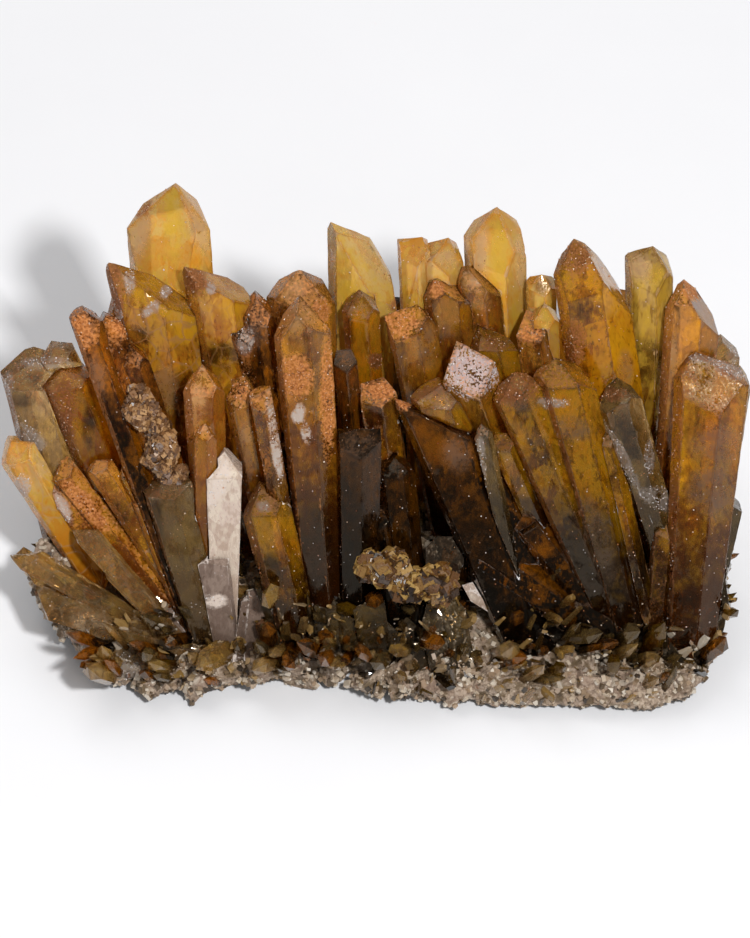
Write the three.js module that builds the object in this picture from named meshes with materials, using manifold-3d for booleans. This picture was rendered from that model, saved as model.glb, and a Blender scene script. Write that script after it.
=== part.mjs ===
// A baryte specimen: amber and smoky crystals that fan up and back from a pale granular matrix.
import * as THREE from "three";
import { mergeVertices } from "three/addons/utils/BufferGeometryUtils.js";
import Module from "manifold-3d";

const wasm = await Module();
wasm.setup();

// Driving dimensions, in millimetres
const GAP = 0.3; // clearance between a crystal and whatever it grew against
const LEDGE_HEIGHT = 4.4; // the front of the matrix, on which the front row stands
const CORE_HEIGHT = 8; // the matrix behind it
const CORE_FRONT = 16; // crystals rooted further back than this stand on the core
const SLAB_CHAMFER = 1.6; // the worn edge under and over the matrix
const FOOT_ROOM = 0.8; // share of its clearance that a crystal needs below its foot
const ROOT_RUN = 6; // how far a shaft runs on below its root, before it is cut level
const TIP_SCATTER = 1.2; // how far a splinter's tip may stray
const CUTTER = 160; // a block larger than any crystal
const MERGE = 1e-3;

// Ranges, as shares of the nominal size, that splinters and lumps are drawn from
const SPLINTER_REACH = [0.8, 1];
const SPLINTER_SPREAD = [0.85, 1.25];
const LUMP_SPREAD = [0.75, 1.25];
const LUMP_LENGTH = [0.9, 1.3];
const LUMP_HEIGHT = [0.8, 1.1];
const LUMP_TOP = [0.5, 0.8];
const LUMP_DEPTH = [1, 1.6];

// Ranges, in degrees, for the faces at a splinter's tip and for its turn about its own axis
const NEAR_SLOPE = [24, 60];
const SIDE_SLOPE = [10, 60];
const SPLINTER_TURN = [20, 70];

// The specimen is measured in a picture plane, looking down at it at this slope.
const VIEW_SLOPE = THREE.MathUtils.degToRad(55);
const TOWARDS_VIEWER = new THREE.Vector3(0, -Math.cos(VIEW_SLOPE), Math.sin(VIEW_SLOPE));

// Directions round a crystal's axis, in degrees, as the viewer sees them
const RIGHT = 0;
const AWAY = 90;
const LEFT = 180;
const NEAR = 270;

// The foot of the matrix, seen from above: x across, y back from the front edge
const SLAB_OUTLINE = [
  [-33, 3.2],
  [-26, 5],
  [-11, 6],
  [-5, 7.5],
  [0, 5.6],
  [8, 2.2],
  [23, 1],
  [28, 1.6],
  [40, 0.2],
  [47, 2.4],
  [51, 9],
  [52, 22],
  [48, 35],
  [40, 42],
  [24, 45],
  [6, 43],
  [-14, 45],
  [-31, 42],
  [-42, 35],
  [-46, 24],
  [-45, 14],
  [-40, 7.6],
];
// The higher part of it
const CORE_OUTLINE = [
  [-35, 19],
  [-26, 16.6],
  [-4, 16.4],
  [14, 16.6],
  [38, 16.4],
  [46, 21],
  [46, 32],
  [38, 40],
  [22, 43],
  [5, 41],
  [-14, 43],
  [-30, 40],
  [-38, 33],
  [-39, 24],
];

// Colour, roughness and metalness of each finish
const FINISHES = {
  yellow: [0xd9b23c, 0.25],
  amber: [0xb97a1c, 0.3],
  coated: [0xb5703c, 0.8],
  smoky: [0x4a3826, 0.3],
  olive: [0x8d8455, 0.4],
  pale: [0xb9b39b, 0.5],
  cleavage: [0xd8cdc4, 0.45],
  matrix: [0xcdbca2, 0.95],
};

// Solids and meshes

function solidOf(geometry) {
  geometry.deleteAttribute("normal");
  geometry.deleteAttribute("uv");
  const merged = mergeVertices(geometry, MERGE);
  const data = { numProp: 3, vertProperties: merged.attributes.position.array };
  return new wasm.Manifold(new wasm.Mesh({ ...data, triVerts: new Uint32Array(merged.index.array) }));
}

// Cutting can leave crumbs, so only the triangles of the largest separate body are kept.
function largestBody(positions, corners) {
  const leader = Array.from({ length: positions.count }, (_, i) => i);
  const bodyOf = (i) => (leader[i] === i ? i : bodyOf((leader[i] = leader[leader[i]])));
  for (let i = 0; i < corners.length; i += 3) {
    leader[bodyOf(corners[i + 1])] = bodyOf(corners[i]);
    leader[bodyOf(corners[i + 2])] = bodyOf(corners[i]);
  }
  const volumes = new Map();
  for (let i = 0; i < corners.length; i += 3) {
    const cornerAt = (k) => new THREE.Vector3().fromBufferAttribute(positions, corners[i + k]);
    const body = bodyOf(corners[i]);
    const volume = cornerAt(0).dot(cornerAt(1).cross(cornerAt(2))) / 6;
    volumes.set(body, (volumes.get(body) ?? 0) + volume);
  }
  const [largest] = [...volumes].reduce((best, next) => (next[1] > best[1] ? next : best));
  return corners.filter((corner) => bodyOf(corner) === largest);
}

function meshOf(name, solid, finish) {
  const { vertProperties, triVerts } = solid.getMesh();
  const positions = new THREE.BufferAttribute(vertProperties, 3);
  const geometry = new THREE.BufferGeometry();
  geometry.setAttribute("position", positions);
  geometry.setIndex(new THREE.BufferAttribute(largestBody(positions, triVerts), 1));
  const [color, roughness] = FINISHES[finish];
  const material = new THREE.MeshStandardMaterial({ color, roughness, metalness: 0, flatShading: true });
  const mesh = new THREE.Mesh(geometry.toNonIndexed(), material);
  mesh.name = name;
  return mesh;
}

// A repeatable dice: the same seed always gives the same rubble.
function makeDice(seed) {
  let state = seed;
  return (low, high) => {
    state = (state * 1664525 + 1013904223) % 4294967296;
    return low + ((high - low) * state) / 4294967296;
  };
}

// A place given as millimetres across, millimetres up the picture plane, and real height.
function seen([across, up, height]) {
  const back = (up - height * Math.cos(VIEW_SLOPE)) / Math.sin(VIEW_SLOPE);
  return new THREE.Vector3(across, back, height);
}

// Crystals

const crystals = [];

// size is the width that the viewer sees and the depth behind it. lead is how far the highest point lies
// from the middle of the width, as a share of half of it. head lists the faces that close the top, each as
// a direction round the axis, a slope, and how far below the tip it starts.
function crystal(node, finish, tip, root, size, options = {}) {
  const defaults = { sides: 6, turn: 0, taper: 0.75, lead: 0, head: POINT };
  crystals.push({ node, finish, tip: seen(tip), root: seen(root), size, ...defaults, ...options });
}

// The same, for crystals on the side that the viewer does not see: places are plain x, y, z.
function hiddenCrystal(node, finish, tip, root, size, options = {}) {
  crystal(node, finish, [0, 0, 0], [0, 0, 0], size, options);
  Object.assign(crystals.at(-1), { tip: new THREE.Vector3(...tip), root: new THREE.Vector3(...root) });
}

const POINT = [
  [RIGHT, 56],
  [LEFT, 56],
  [NEAR, 60],
  [AWAY, 60],
];
const BLUNT = [
  [NEAR, 24],
  [AWAY, 20],
];

// Axes of a crystal: right and away as the viewer sees them, and along, from root to tip.
function axesOf(root, top) {
  const along = top.clone().sub(root).normalize();
  const near = TOWARDS_VIEWER.clone().addScaledVector(along, -TOWARDS_VIEWER.dot(along)).normalize();
  const away = near.negate();
  const right = new THREE.Vector3().crossVectors(away, along);
  return { right, away, along };
}

function prism({ sides, turn, taper }, [width, depth], length) {
  const start = THREE.MathUtils.degToRad(turn);
  const shaft = new THREE.CylinderGeometry(1, taper, length, sides, 1, false, start);
  shaft.rotateX(Math.PI / 2);
  shaft.translate(0, 0, length / 2);
  shaft.computeBoundingBox();
  const extent = shaft.boundingBox.getSize(new THREE.Vector3());
  return shaft.scale(width / extent.x, depth / extent.y, 1);
}

// A block that takes away all that lies beyond the plane through a point, with the normal given.
function cutter(point, normal) {
  const block = new THREE.BoxGeometry(CUTTER, CUTTER, CUTTER).translate(0, 0, CUTTER / 2);
  block.applyQuaternion(new THREE.Quaternion().setFromUnitVectors(new THREE.Vector3(0, 0, 1), normal));
  return solidOf(block.translate(point.x, point.y, point.z));
}

// Takes away all that lies below a height.
function cutLevel(solid, height) {
  return solid.subtract(cutter(new THREE.Vector3(0, 0, height), new THREE.Vector3(0, 0, -1)));
}

function faceNormal({ right, away, along }, direction, slope) {
  const turn = THREE.MathUtils.degToRad(direction);
  const lean = THREE.MathUtils.degToRad(slope);
  const outward = right.clone().multiplyScalar(Math.cos(turn)).addScaledVector(away, Math.sin(turn));
  return outward.multiplyScalar(Math.sin(lean)).addScaledVector(along, Math.cos(lean));
}

// The solid of one crystal. grow makes it larger all round, for the room that its neighbours leave it.
function crystalSolid(spec, grow = 0) {
  const offset = (spec.lead * spec.size[0]) / 2;
  const top = spec.tip.clone().addScaledVector(axesOf(spec.root, spec.tip).right, -offset);
  const axes = axesOf(spec.root, top);
  const root = spec.root.clone().addScaledVector(axes.along, -ROOT_RUN);
  const size = spec.size.map((side) => side + 2 * grow);
  const shaft = prism(spec, size, root.distanceTo(top) + size[0]);
  shaft.applyMatrix4(new THREE.Matrix4().makeBasis(axes.right, axes.away, axes.along).setPosition(root));
  const floor = spec.root.y > CORE_FRONT ? CORE_HEIGHT : LEDGE_HEIGHT;
  let solid = cutLevel(solidOf(shaft), floor + GAP - FOOT_ROOM * grow);
  for (const [direction, slope, drop = 0] of spec.head) {
    const normal = faceNormal(axes, direction, slope);
    const point = spec.tip.clone().addScaledVector(axes.along, -drop).addScaledVector(normal, grow);
    solid = solid.subtract(cutter(point, normal));
  }
  return solid;
}

// Front row, left to right. These stand whole, and the rows behind grew against them.

crystal("big_long", "coated", [-11.2, 62.9, 55], [-7.5, 15, 6], [9.2, 7.5], {
  turn: 12,
  taper: 0.7,
  head: [[185, 60], [330, 56], [AWAY, 60], [20, 58]],
});
crystal("big_long", "coated", [-17, 48.4, 42.5], [-11.5, 17, 8], [3.4, 5], { head: [[185, 12], [NEAR, 40]] });
crystal("broad_dark", "smoky", [2.2, 48, 40], [23, 12.5, 6], [15, 7.8], {
  turn: 8,
  taper: 0.55,
  lead: -0.9,
  head: [[RIGHT, 49], [LEFT, 70], [NEAR, 64], [AWAY, 60]],
});
crystal("broad_pair", "amber", [20.6, 51.6, 44], [36.5, 12.5, 6], [8.2, 7], {
  turn: 10,
  taper: 0.55,
  lead: 0.2,
  head: [[262, 36], [LEFT, 34], [RIGHT, 52], [AWAY, 40]],
});
crystal("broad_pair", "amber", [26.6, 53.7, 45.5], [38.5, 12, 6], [9.6, 7.6], {
  turn: 20,
  taper: 0.55,
  lead: -0.1,
  head: [[LEFT, 30], [350, 54], [NEAR, 50], [AWAY, 45]],
});
crystal("right_broad", "amber", [47.3, 54.5, 46], [47, 11, 5], [12.5, 9], {
  turn: 14,
  taper: 0.6,
  lead: -0.45,
  head: [[355, 27], [LEFT, 60], [NEAR, 66], [AWAY, 40]],
});
crystal("clear_front", "olive", [36.5, 49.4, 42], [45, 20, 9], [7, 6], {
  turn: 15,
  taper: 0.7,
  lead: 0.3,
  head: [[195, 32], [NEAR, 24], [RIGHT, 50]],
});
crystal("slender_blade", "pale", [15.6, 44, 38.5], [21.4, 19, 13], [3, 2.4], { sides: 4, turn: 20 });
crystal("tan_point", "coated", [-25.6, 52.7, 44], [-24, 16, 7], [6.8, 5.5], { turn: 25, taper: 0.6 });
crystal("tan_point", "coated", [-25.2, 44, 38], [-25.4, 27, 20], [3.8, 3], { turn: 10 });
crystal("orange_grey", "coated", [-19, 50.2, 42], [-15, 21, 8], [5, 4.6], {
  turn: 20,
  taper: 0.6,
  lead: 0.5,
  head: [[190, 38], [RIGHT, 66], [NEAR, 60]],
});
crystal("white_cleavage", "cleavage", [-22.4, 39.8, 33], [-22.6, 15, 8], [5.8, 4.6], {
  sides: 4,
  turn: 45,
  taper: 0.6,
  head: [[LEFT, 45], [RIGHT, 50], [NEAR, 60]],
});
crystal("amber_low", "amber", [-17, 34.4, 28], [-11.5, 11.5, 5], [8, 6], {
  turn: 20,
  head: [[LEFT, 48], [RIGHT, 40], [NEAR, 52]],
});
crystal("olive_face", "olive", [-31.2, 35.7, 29], [-25, 12, 6], [8.2, 5.2], {
  turn: 8,
  taper: 0.6,
  head: [[RIGHT, 16], [200, 24], [NEAR, 48]],
});

// Left fan, from the blades in its middle out to the low crystals at its edge

crystal("left_blades", "smoky", [-43, 60.6, 50], [-27, 13, 6], [4.8, 5.4], {
  turn: 18,
  lead: 0.1,
  head: [[186, 10], [RIGHT, 48], [NEAR, 62]],
});
crystal("left_blades", "smoky", [-40, 59.8, 48], [-25.4, 14.5, 7], [4.8, 5.4], {
  turn: 8,
  head: [[LEFT, 42], [RIGHT, 44], [NEAR, 62]],
});
crystal("left_blades", "smoky", [-36.8, 55.8, 45], [-23.6, 16.5, 7], [5, 4.6], {
  turn: 14,
  head: [[LEFT, 40], [RIGHT, 55], [NEAR, 58]],
});
crystal("orange_block", "amber", [-46.6, 52, 38.5], [-34, 22, 8], [9.6, 7], {
  turn: 16,
  taper: 0.7,
  lead: -0.1,
  head: [[NEAR, 38], [RIGHT, 30], [LEFT, 22]],
});
crystal("far_left_block", "pale", [-50, 53.4, 38], [-45, 27, 9], [10.8, 8.4], {
  turn: 10,
  taper: 0.95,
  lead: 0.15,
  head: [[200, 14], [RIGHT, 26], [260, 36]],
});
crystal("yellow_edge", "yellow", [-54.4, 41.4, 28.5], [-42, 20, 8], [7, 6], {
  turn: 20,
  taper: 0.5,
  head: [[LEFT, 40], [RIGHT, 30], [NEAR, 50]],
});
crystal("left_prisms", "coated", [-47.2, 37.6, 25.5], [-27.6, 12.5, 5], [4.4, 4], {
  turn: 10,
  head: [[NEAR, 44], [LEFT, 30]],
});
crystal("left_prisms", "coated", [-41.6, 38.5, 28], [-26.4, 14, 6], [4.4, 4], {
  turn: 22,
  head: [[NEAR, 36], [LEFT, 22], [RIGHT, 28]],
});
crystal("left_prisms", "coated", [-37.6, 38.2, 28.5], [-25.2, 14.5, 7], [3.4, 3], { turn: 12 });
crystal("left_prisms", "coated", [-34.8, 34.2, 25.5], [-26.8, 12, 5.5], [4.6, 3.6], {
  turn: 12,
  head: [[LEFT, 40], [RIGHT, 50], [NEAR, 62]],
});
crystal("left_prisms", "coated", [-49.2, 36, 23], [-30, 12, 5], [5, 4], {
  turn: 20,
  head: [[NEAR, 56], [LEFT, 44], [RIGHT, 40]],
});
crystal("far_left_block", "pale", [-47.7, 55.3, 40], [-33, 26, 8], [5.4, 4.8], {
  head: [[LEFT, 24], [RIGHT, 26], [NEAR, 40]],
});

// Lower centre: dark, short crystals between the fans

crystal("dark_centre", "smoky", [-2.4, 43.2, 36], [-2.5, 13, 5], [7, 6.6], {
  turn: 8,
  head: [[NEAR, 48], [LEFT, 12], [AWAY, 30]],
});
crystal("dark_centre", "smoky", [2.8, 38.9, 30], [6, 13, 6], [6, 5.4], {
  turn: 20,
  head: [[NEAR, 44], [200, 36], [RIGHT, 40]],
});
crystal("dark_centre", "smoky", [0.4, 31.5, 23], [4, 11, 5], [5, 4.4], {
  turn: 6,
  head: [[NEAR, 50], [LEFT, 40], [RIGHT, 30]],
});
crystal("button_crystal", "smoky", [10.4, 24.2, 17.5], [12.4, 19, 6], [6.4, 6], {
  sides: 8,
  taper: 0.85,
  head: [[NEAR, 26]],
});
crystal("dark_plates", "smoky", [14.4, 26.6, 19], [37, 10.2, 5], [8.4, 6], {
  turn: 12,
  taper: 0.5,
  head: [[RIGHT, 40], [LEFT, 50], [NEAR, 46]],
});
crystal("dark_plates", "smoky", [20.6, 31.5, 23], [38, 10.4, 5], [6.4, 5], {
  turn: 24,
  taper: 0.5,
  head: [[RIGHT, 48], [LEFT, 36], [NEAR, 56]],
});
crystal("white_blade", "cleavage", [13, 19.8, 13], [25.6, 11.8, 6.5], [2.8, 1.8], {
  sides: 4,
  head: [[RIGHT, 40], [LEFT, 60], [NEAR, 60]],
});
crystal("dark_plates", "smoky", [29.6, 32.9, 25], [40.4, 9.2, 4.5], [6.4, 4.2], {
  turn: 20,
  taper: 0.6,
  head: [[LEFT, 52], [RIGHT, 48], [NEAR, 62]],
});
crystal("grey_matte", "pale", [-24, 25.2, 19], [-22.4, 10.6, 5], [6.2, 5], {
  sides: 4,
  turn: 30,
  head: [[LEFT, 30], [RIGHT, 20], [NEAR, 40]],
});

// Right edge: pale blocks broken across, below and behind the broad crystal

crystal("right_blocks", "pale", [51.4, 34, 24.5], [47, 12, 5], [8.4, 6.4], {
  turn: 10,
  head: [[NEAR, 30], [RIGHT, 30]],
});
crystal("right_blocks", "pale", [50.6, 26, 17], [45, 10, 4], [8, 5.4], {
  sides: 4,
  turn: 40,
  head: [[NEAR, 34], [RIGHT, 36]],
});
crystal("right_blocks", "pale", [52.6, 19.6, 11.5], [44, 9, 3.5], [6.4, 5], {
  turn: 25,
  head: [[NEAR, 40], [RIGHT, 40]],
});
crystal("right_slivers", "amber", [33.6, 43.6, 36], [41.4, 12, 6], [4, 3.6], { turn: 15 });
crystal("right_slivers", "amber", [43.6, 30, 21.5], [42, 9.5, 4.5], [4.6, 4], {
  turn: 15,
  head: [[LEFT, 52], [RIGHT, 40], [NEAR, 58]],
});
crystal("far_right_pale", "pale", [51.6, 56, 42], [49.4, 22, 6], [5.4, 6], {
  turn: 10,
  head: [[10, 38], [LEFT, 26], [NEAR, 36]],
});
crystal("far_right_pale", "pale", [54.2, 51.6, 37.5], [50.4, 20, 5], [4, 5], {
  turn: 24,
  head: [[RIGHT, 50], [LEFT, 26], [NEAR, 50]],
});

// Middle row, left to right

crystal("cracked_block", "amber", [-39.4, 67.8, 54], [-27, 24, 7], [14, 8.4], {
  turn: 12,
  taper: 0.55,
  lead: -0.8,
  head: [[352, 44], [186, 58], [NEAR, 70], [AWAY, 55]],
});
crystal("orange_triangle", "amber", [-28.2, 67.2, 53], [-17.4, 25, 8], [11.5, 7.6], {
  turn: 18,
  taper: 0.55,
  lead: -0.82,
  head: [[356, 39], [228, 56], [AWAY, 55]],
});
crystal("dark_rhomb", "smoky", [-17.6, 62.4, 49.5], [-12, 27, 9], [5.6, 5.4], {
  turn: 20,
  taper: 0.6,
  head: [[LEFT, 50], [RIGHT, 55], [NEAR, 56]],
});
crystal("dark_rhomb", "smoky", [-19.2, 57.8, 45.5], [-13.6, 26, 9], [4.8, 5], {
  sides: 4,
  taper: 0.6,
  head: [[NEAR, 22]],
});
crystal("lilac_top", "coated", [13.8, 51.6, 43], [23.4, 27, 9], [9.3, 8.6], {
  sides: 4,
  taper: 0.55,
  head: [[NEAR, 38]],
});
crystal("red_top", "coated", [0.2, 48.6, 38], [4, 22, 9], [6, 5.6], {
  sides: 5,
  turn: 10,
  taper: 0.6,
  head: [[NEAR, 22]],
});
crystal("round_back", "amber", [9.8, 49.6, 41], [18, 21, 8], [9.4, 6], {
  turn: 15,
  taper: 0.5,
  lead: 0.2,
  head: [[LEFT, 8], [RIGHT, 58], [280, 48]],
});
crystal("small_amber", "amber", [18.9, 41.2, 34.5], [30, 17, 8], [4.4, 4], {
  sides: 4,
  turn: 10,
  taper: 0.6,
  head: [[NEAR, 26]],
});
crystal("grey_block", "coated", [0.1, 52.4, 43.5], [5, 25, 9], [5.2, 5], {
  sides: 5,
  taper: 0.6,
  head: [[NEAR, 30], [LEFT, 34]],
});
crystal("small_grey", "pale", [-4.5, 53.4, 44], [-1.6, 27, 9], [3.8, 4], {
  sides: 5,
  taper: 0.6,
  head: [[NEAR, 18]],
});
crystal("sandy_pair", "coated", [6.2, 61.6, 48], [11.6, 25, 8], [8, 7], {
  turn: 10,
  taper: 0.6,
  lead: 0.35,
  head: [[238, 46], [LEFT, 6], [12, 60], [AWAY, 50]],
});
crystal("sandy_pair", "coated", [8.6, 65.2, 50.5], [15.2, 28, 8], [8.4, 6], {
  turn: 16,
  taper: 0.6,
  lead: -0.5,
  head: [[RIGHT, 38], [230, 50], [AWAY, 50], [LEFT, 62]],
});
crystal("coated_block", "coated", [24.6, 58.6, 45], [28.4, 26, 8], [6, 6], {
  sides: 4,
  turn: 12,
  taper: 0.6,
  lead: 0.4,
  head: [[255, 28], [RIGHT, 60]],
});
crystal("brown_block", "amber", [15.6, 57, 44.5], [23.4, 27, 8], [8.4, 6], {
  turn: 12,
  taper: 0.55,
  lead: -0.3,
  head: [[NEAR, 30], [RIGHT, 36], [LEFT, 58]],
});
crystal("big_right", "amber", [29.2, 71.1, 60], [38.4, 24, 7], [10.6, 8.4], {
  turn: 14,
  taper: 1,
  lead: -0.3,
  head: [[RIGHT, 47], [LEFT, 60], [250, 68], [AWAY, 60], [RIGHT, 67, -2]],
});
crystal("right_coated", "coated", [46, 65.6, 54], [44.5, 22, 7], [8.8, 7.4], {
  turn: 16,
  taper: 0.75,
  lead: -0.3,
  head: [[RIGHT, 24], [RIGHT, 55, 1.6], [250, 50], [LEFT, 66], [AWAY, 50]],
});
crystal("dark_point", "amber", [-2.4, 63.9, 49.5], [0, 29, 8], [6.2, 5.4], { turn: 20, taper: 0.6 });

// Back row, left to right

crystal("back_tall_left", "yellow", [-29.5, 79.5, 60], [-28.4, 34, 9], [12.6, 9.4], {
  turn: 18,
  taper: 0.95,
  lead: 0.25,
  head: [[RIGHT, 60], [322, 62], [LEFT, 46], [AWAY, 58], [250, 76]],
});
crystal("back_hazy", "coated", [-11.3, 66.9, 50.5], [-9, 30, 8], [11.6, 7], {
  turn: 20,
  taper: 0.6,
  head: [[RIGHT, 50], [LEFT, 45], [NEAR, 62], [AWAY, 55]],
});
crystal("back_blade", "yellow", [-6.6, 73.7, 57], [-2.4, 34, 9], [11.6, 6.8], {
  turn: 14,
  taper: 0.7,
  lead: -0.86,
  head: [[RIGHT, 40], [322, 66, -3], [LEFT, 76], [AWAY, 58], [RIGHT, 62, -6]],
});
crystal("back_pair", "yellow", [6.9, 71.5, 56], [7, 34, 9], [5, 4.8], {
  turn: 10,
  lead: 0.5,
  head: [[172, 10], [RIGHT, 62], [AWAY, 50], [NEAR, 60]],
});
crystal("back_pair", "yellow", [10.8, 71.4, 55], [12, 33, 9], [6.8, 5.6], {
  turn: 16,
  lead: 0.35,
  head: [[200, 36], [RIGHT, 64], [AWAY, 50], [290, 66]],
});
crystal("back_brown", "coated", [13.2, 67.3, 52.5], [19.4, 31, 9], [6.6, 5.4], {
  turn: 12,
  lead: -0.5,
  head: [[RIGHT, 52], [LEFT, 66], [NEAR, 60], [AWAY, 50]],
});
crystal("back_tall_right", "yellow", [18, 76, 59], [19, 34, 9], [9.4, 7.4], {
  turn: 18,
  taper: 0.95,
  lead: 0.1,
  head: [[LEFT, 48], [RIGHT, 56], [330, 64], [NEAR, 70], [AWAY, 60]],
});
crystal("back_small_pair", "yellow", [24.6, 66, 50], [25, 33, 9], [4.8, 4.4], {
  turn: 10,
  head: [[LEFT, 36], [RIGHT, 45], [NEAR, 50], [AWAY, 46]],
});
crystal("back_small_pair", "yellow", [25, 61.8, 48], [26, 29, 9], [4.6, 4.2], { turn: 16 });
crystal("back_right", "yellow", [41, 70.2, 56], [41.4, 32, 9], [7.6, 6.6], {
  turn: 14,
  lead: 0.15,
  head: [[LEFT, 30], [RIGHT, 60], [NEAR, 66], [AWAY, 56]],
});

// Hidden side: shorter crystals of the same kinds, leaning back from the foot of the tall ones

const REAR_POINT = { turn: 20, taper: 0.6 };
const REAR_BLUNT = { turn: 14, taper: 0.65, head: BLUNT };
const REAR_SMALL = { turn: 30, taper: 0.8 };
hiddenCrystal("rear_left", "amber", [-38, 56, 35], [-30, 38, 6], [9, 7], REAR_POINT);
hiddenCrystal("rear_left", "amber", [-49, 47, 26], [-31.5, 36, 5], [8, 6], REAR_BLUNT);
hiddenCrystal("rear_left", "amber", [-27, 58, 28], [-26.5, 39, 5], [10, 7], REAR_BLUNT);
hiddenCrystal("rear_left", "amber", [-35, 50, 19], [-28.5, 39, 5], [6, 5], REAR_SMALL);
hiddenCrystal("rear_middle", "smoky", [-13, 58.5, 32], [-3, 39, 5], [8, 6.6], REAR_POINT);
hiddenCrystal("rear_middle", "smoky", [0, 59, 26], [0, 40, 5], [9.4, 7], REAR_BLUNT);
hiddenCrystal("rear_middle", "smoky", [12, 59, 33], [3, 39.5, 5], [6.4, 5.4], REAR_POINT);
hiddenCrystal("rear_middle", "smoky", [-7, 53, 18], [-2, 41, 5], [6.4, 5], REAR_SMALL);
hiddenCrystal("rear_middle", "smoky", [8, 52, 17], [2, 41, 5], [6, 5.4], REAR_SMALL);
hiddenCrystal("rear_right", "coated", [24, 58, 29], [28, 39, 5], [9, 7], REAR_POINT);
hiddenCrystal("rear_right", "coated", [36, 57, 31], [31.5, 39, 5], [8.6, 6.8], REAR_BLUNT);
hiddenCrystal("rear_right", "coated", [48, 49, 25], [34, 37.5, 5], [8, 6.4], REAR_POINT);
hiddenCrystal("rear_right", "coated", [31, 52, 18], [31, 40, 5], [6.4, 5.4], REAR_SMALL);

// Splinters: many small crystals fused into one solid

function between(start, end, share) {
  return start.map((value, k) => value + (end[k] - value) * share);
}

// Their roots run from one place to another, and so do their tips, all as seen. Roots that lie together
// make a fan, and roots in a line make a comb.
function splinters(node, finish, roots, tips, count, [width, depth], taper, seed) {
  const dice = makeDice(seed);
  for (let i = 0; i < count; i++) {
    const root = between(...roots, i / (count - 1));
    const end = between(...tips, i / (count - 1)).map((value) => value + dice(-1, 1) * TIP_SCATTER);
    const tip = between(root, end, dice(...SPLINTER_REACH));
    const size = [width * dice(...SPLINTER_SPREAD), depth * dice(...SPLINTER_SPREAD)];
    const side = dice(0, 1) < 0.5 ? LEFT : RIGHT;
    const head = [[NEAR, dice(...NEAR_SLOPE)], [side, dice(...SIDE_SLOPE)]];
    crystal(node, finish, tip, root, size, { sides: 4, turn: dice(...SPLINTER_TURN), taper, head });
  }
}

const LEFT_ROOTS = new Array(2).fill([-27.5, 9.5, 5]);
const PLATE_ROOTS = new Array(2).fill([38.5, 8.8, 5]);
const BLOCK_ROOTS = new Array(2).fill([45, 9.4, 5]);
const MATTE_ROOTS = [
  [-28, 10.6, 5],
  [-18, 10.2, 5],
];
const FRONT_ROOTS = [
  [-13, 10.6, 5],
  [13, 9, 5],
];
const NARROW = 0.55; // taper of the splinters in a fan
const FULL = 0.85; // and in a comb

splinters("left_fan", "pale", LEFT_ROOTS, [[-43.5, 6.2, 4.8], [-56, 27, 18.5]], 9, [4.4, 3.2], NARROW, 11);
splinters("left_fan", "pale", LEFT_ROOTS, [[-35, 21, 13], [-46, 30, 20]], 3, [4, 3], NARROW, 5);
splinters("grey_matte", "pale", MATTE_ROOTS, [[-31, 18, 10], [-16, 20, 12]], 5, [3.8, 3], FULL, 23);
splinters("front_splinters", "olive", FRONT_ROOTS, [[-16, 22, 14], [11, 18, 11]], 9, [4.4, 3], FULL, 31);
splinters("dark_plates", "smoky", PLATE_ROOTS, [[20, 15, 9], [35, 22, 14]], 4, [4, 3], NARROW, 59);
splinters("right_blocks", "pale", BLOCK_ROOTS, [[40, 18, 11], [53, 15, 9]], 3, [4, 3], NARROW, 61);

// Rubble and matrix

// An irregular lump with flat faces
function lump(place, radius, dice) {
  const shape = new THREE.CylinderGeometry(dice(...LUMP_TOP), 1, dice(...LUMP_DEPTH), 4);
  shape.scale(radius * dice(...LUMP_LENGTH), radius, radius * dice(...LUMP_HEIGHT));
  shape.applyQuaternion(new THREE.Quaternion(dice(-1, 1), dice(-1, 1), dice(-1, 1), dice(-1, 1)).normalize());
  return solidOf(shape.translate(place.x, place.y, place.z));
}

// Lumps strung from one place to another, plain x, y, z, each moved by up to the scatter
function rubble(from, to, count, radius, scatter, seed) {
  const dice = makeDice(seed);
  const start = new THREE.Vector3(...from);
  const end = new THREE.Vector3(...to);
  return Array.from({ length: count }, (_, i) => {
    const place = start.clone().lerp(end, i / (count - 1));
    place.add(new THREE.Vector3(dice(-1, 1), dice(-1, 1), dice(-1, 1)).multiplyScalar(scatter));
    return lump(place, radius * dice(...LUMP_SPREAD), dice);
  });
}

function slab(outline, height, chamfer) {
  const shape = new THREE.Shape(outline.map(([x, y]) => new THREE.Vector2(x, y)));
  const body = new THREE.ExtrudeGeometry(shape, {
    depth: height - 2 * chamfer,
    bevelThickness: chamfer,
    bevelSize: chamfer,
    bevelOffset: -chamfer,
    bevelSegments: 1,
  });
  return solidOf(body.translate(0, 0, chamfer));
}

function join(solids) {
  return solids.reduce((whole, piece) => whole.add(piece));
}

function matrixBody() {
  const pieces = [
    slab(SLAB_OUTLINE, LEDGE_HEIGHT, SLAB_CHAMFER),
    slab(CORE_OUTLINE, CORE_HEIGHT, SLAB_CHAMFER),
    ...rubble([-42, 11, 4], [-50, 20, 10], 4, 3.8, 0.8, 103),
    ...rubble([-38, 6.4, 3], [-26, 4.4, 3], 4, 3.2, 0.8, 101),
    ...rubble([-22, 6, 3], [-6, 7.4, 3], 4, 3.2, 0.8, 107),
    ...rubble([0, 5, 3], [16, 3.2, 3], 4, 3.4, 0.8, 109),
    ...rubble([21, 3.4, 3], [45, 4.6, 3], 5, 3.6, 0.8, 113),
    ...rubble([48, 9, 4], [50, 17, 6], 2, 3.8, 0.8, 127),
    ...rubble([49.5, 25, 4], [45, 38, 4], 2, 5, 1, 131),
    ...rubble([32, 43, 4], [-28, 43, 4], 5, 5.4, 1.2, 137),
    ...rubble([-39, 35, 4], [-42, 27, 4], 2, 5, 1, 139),
  ];
  return cutLevel(join(pieces), 0);
}

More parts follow.
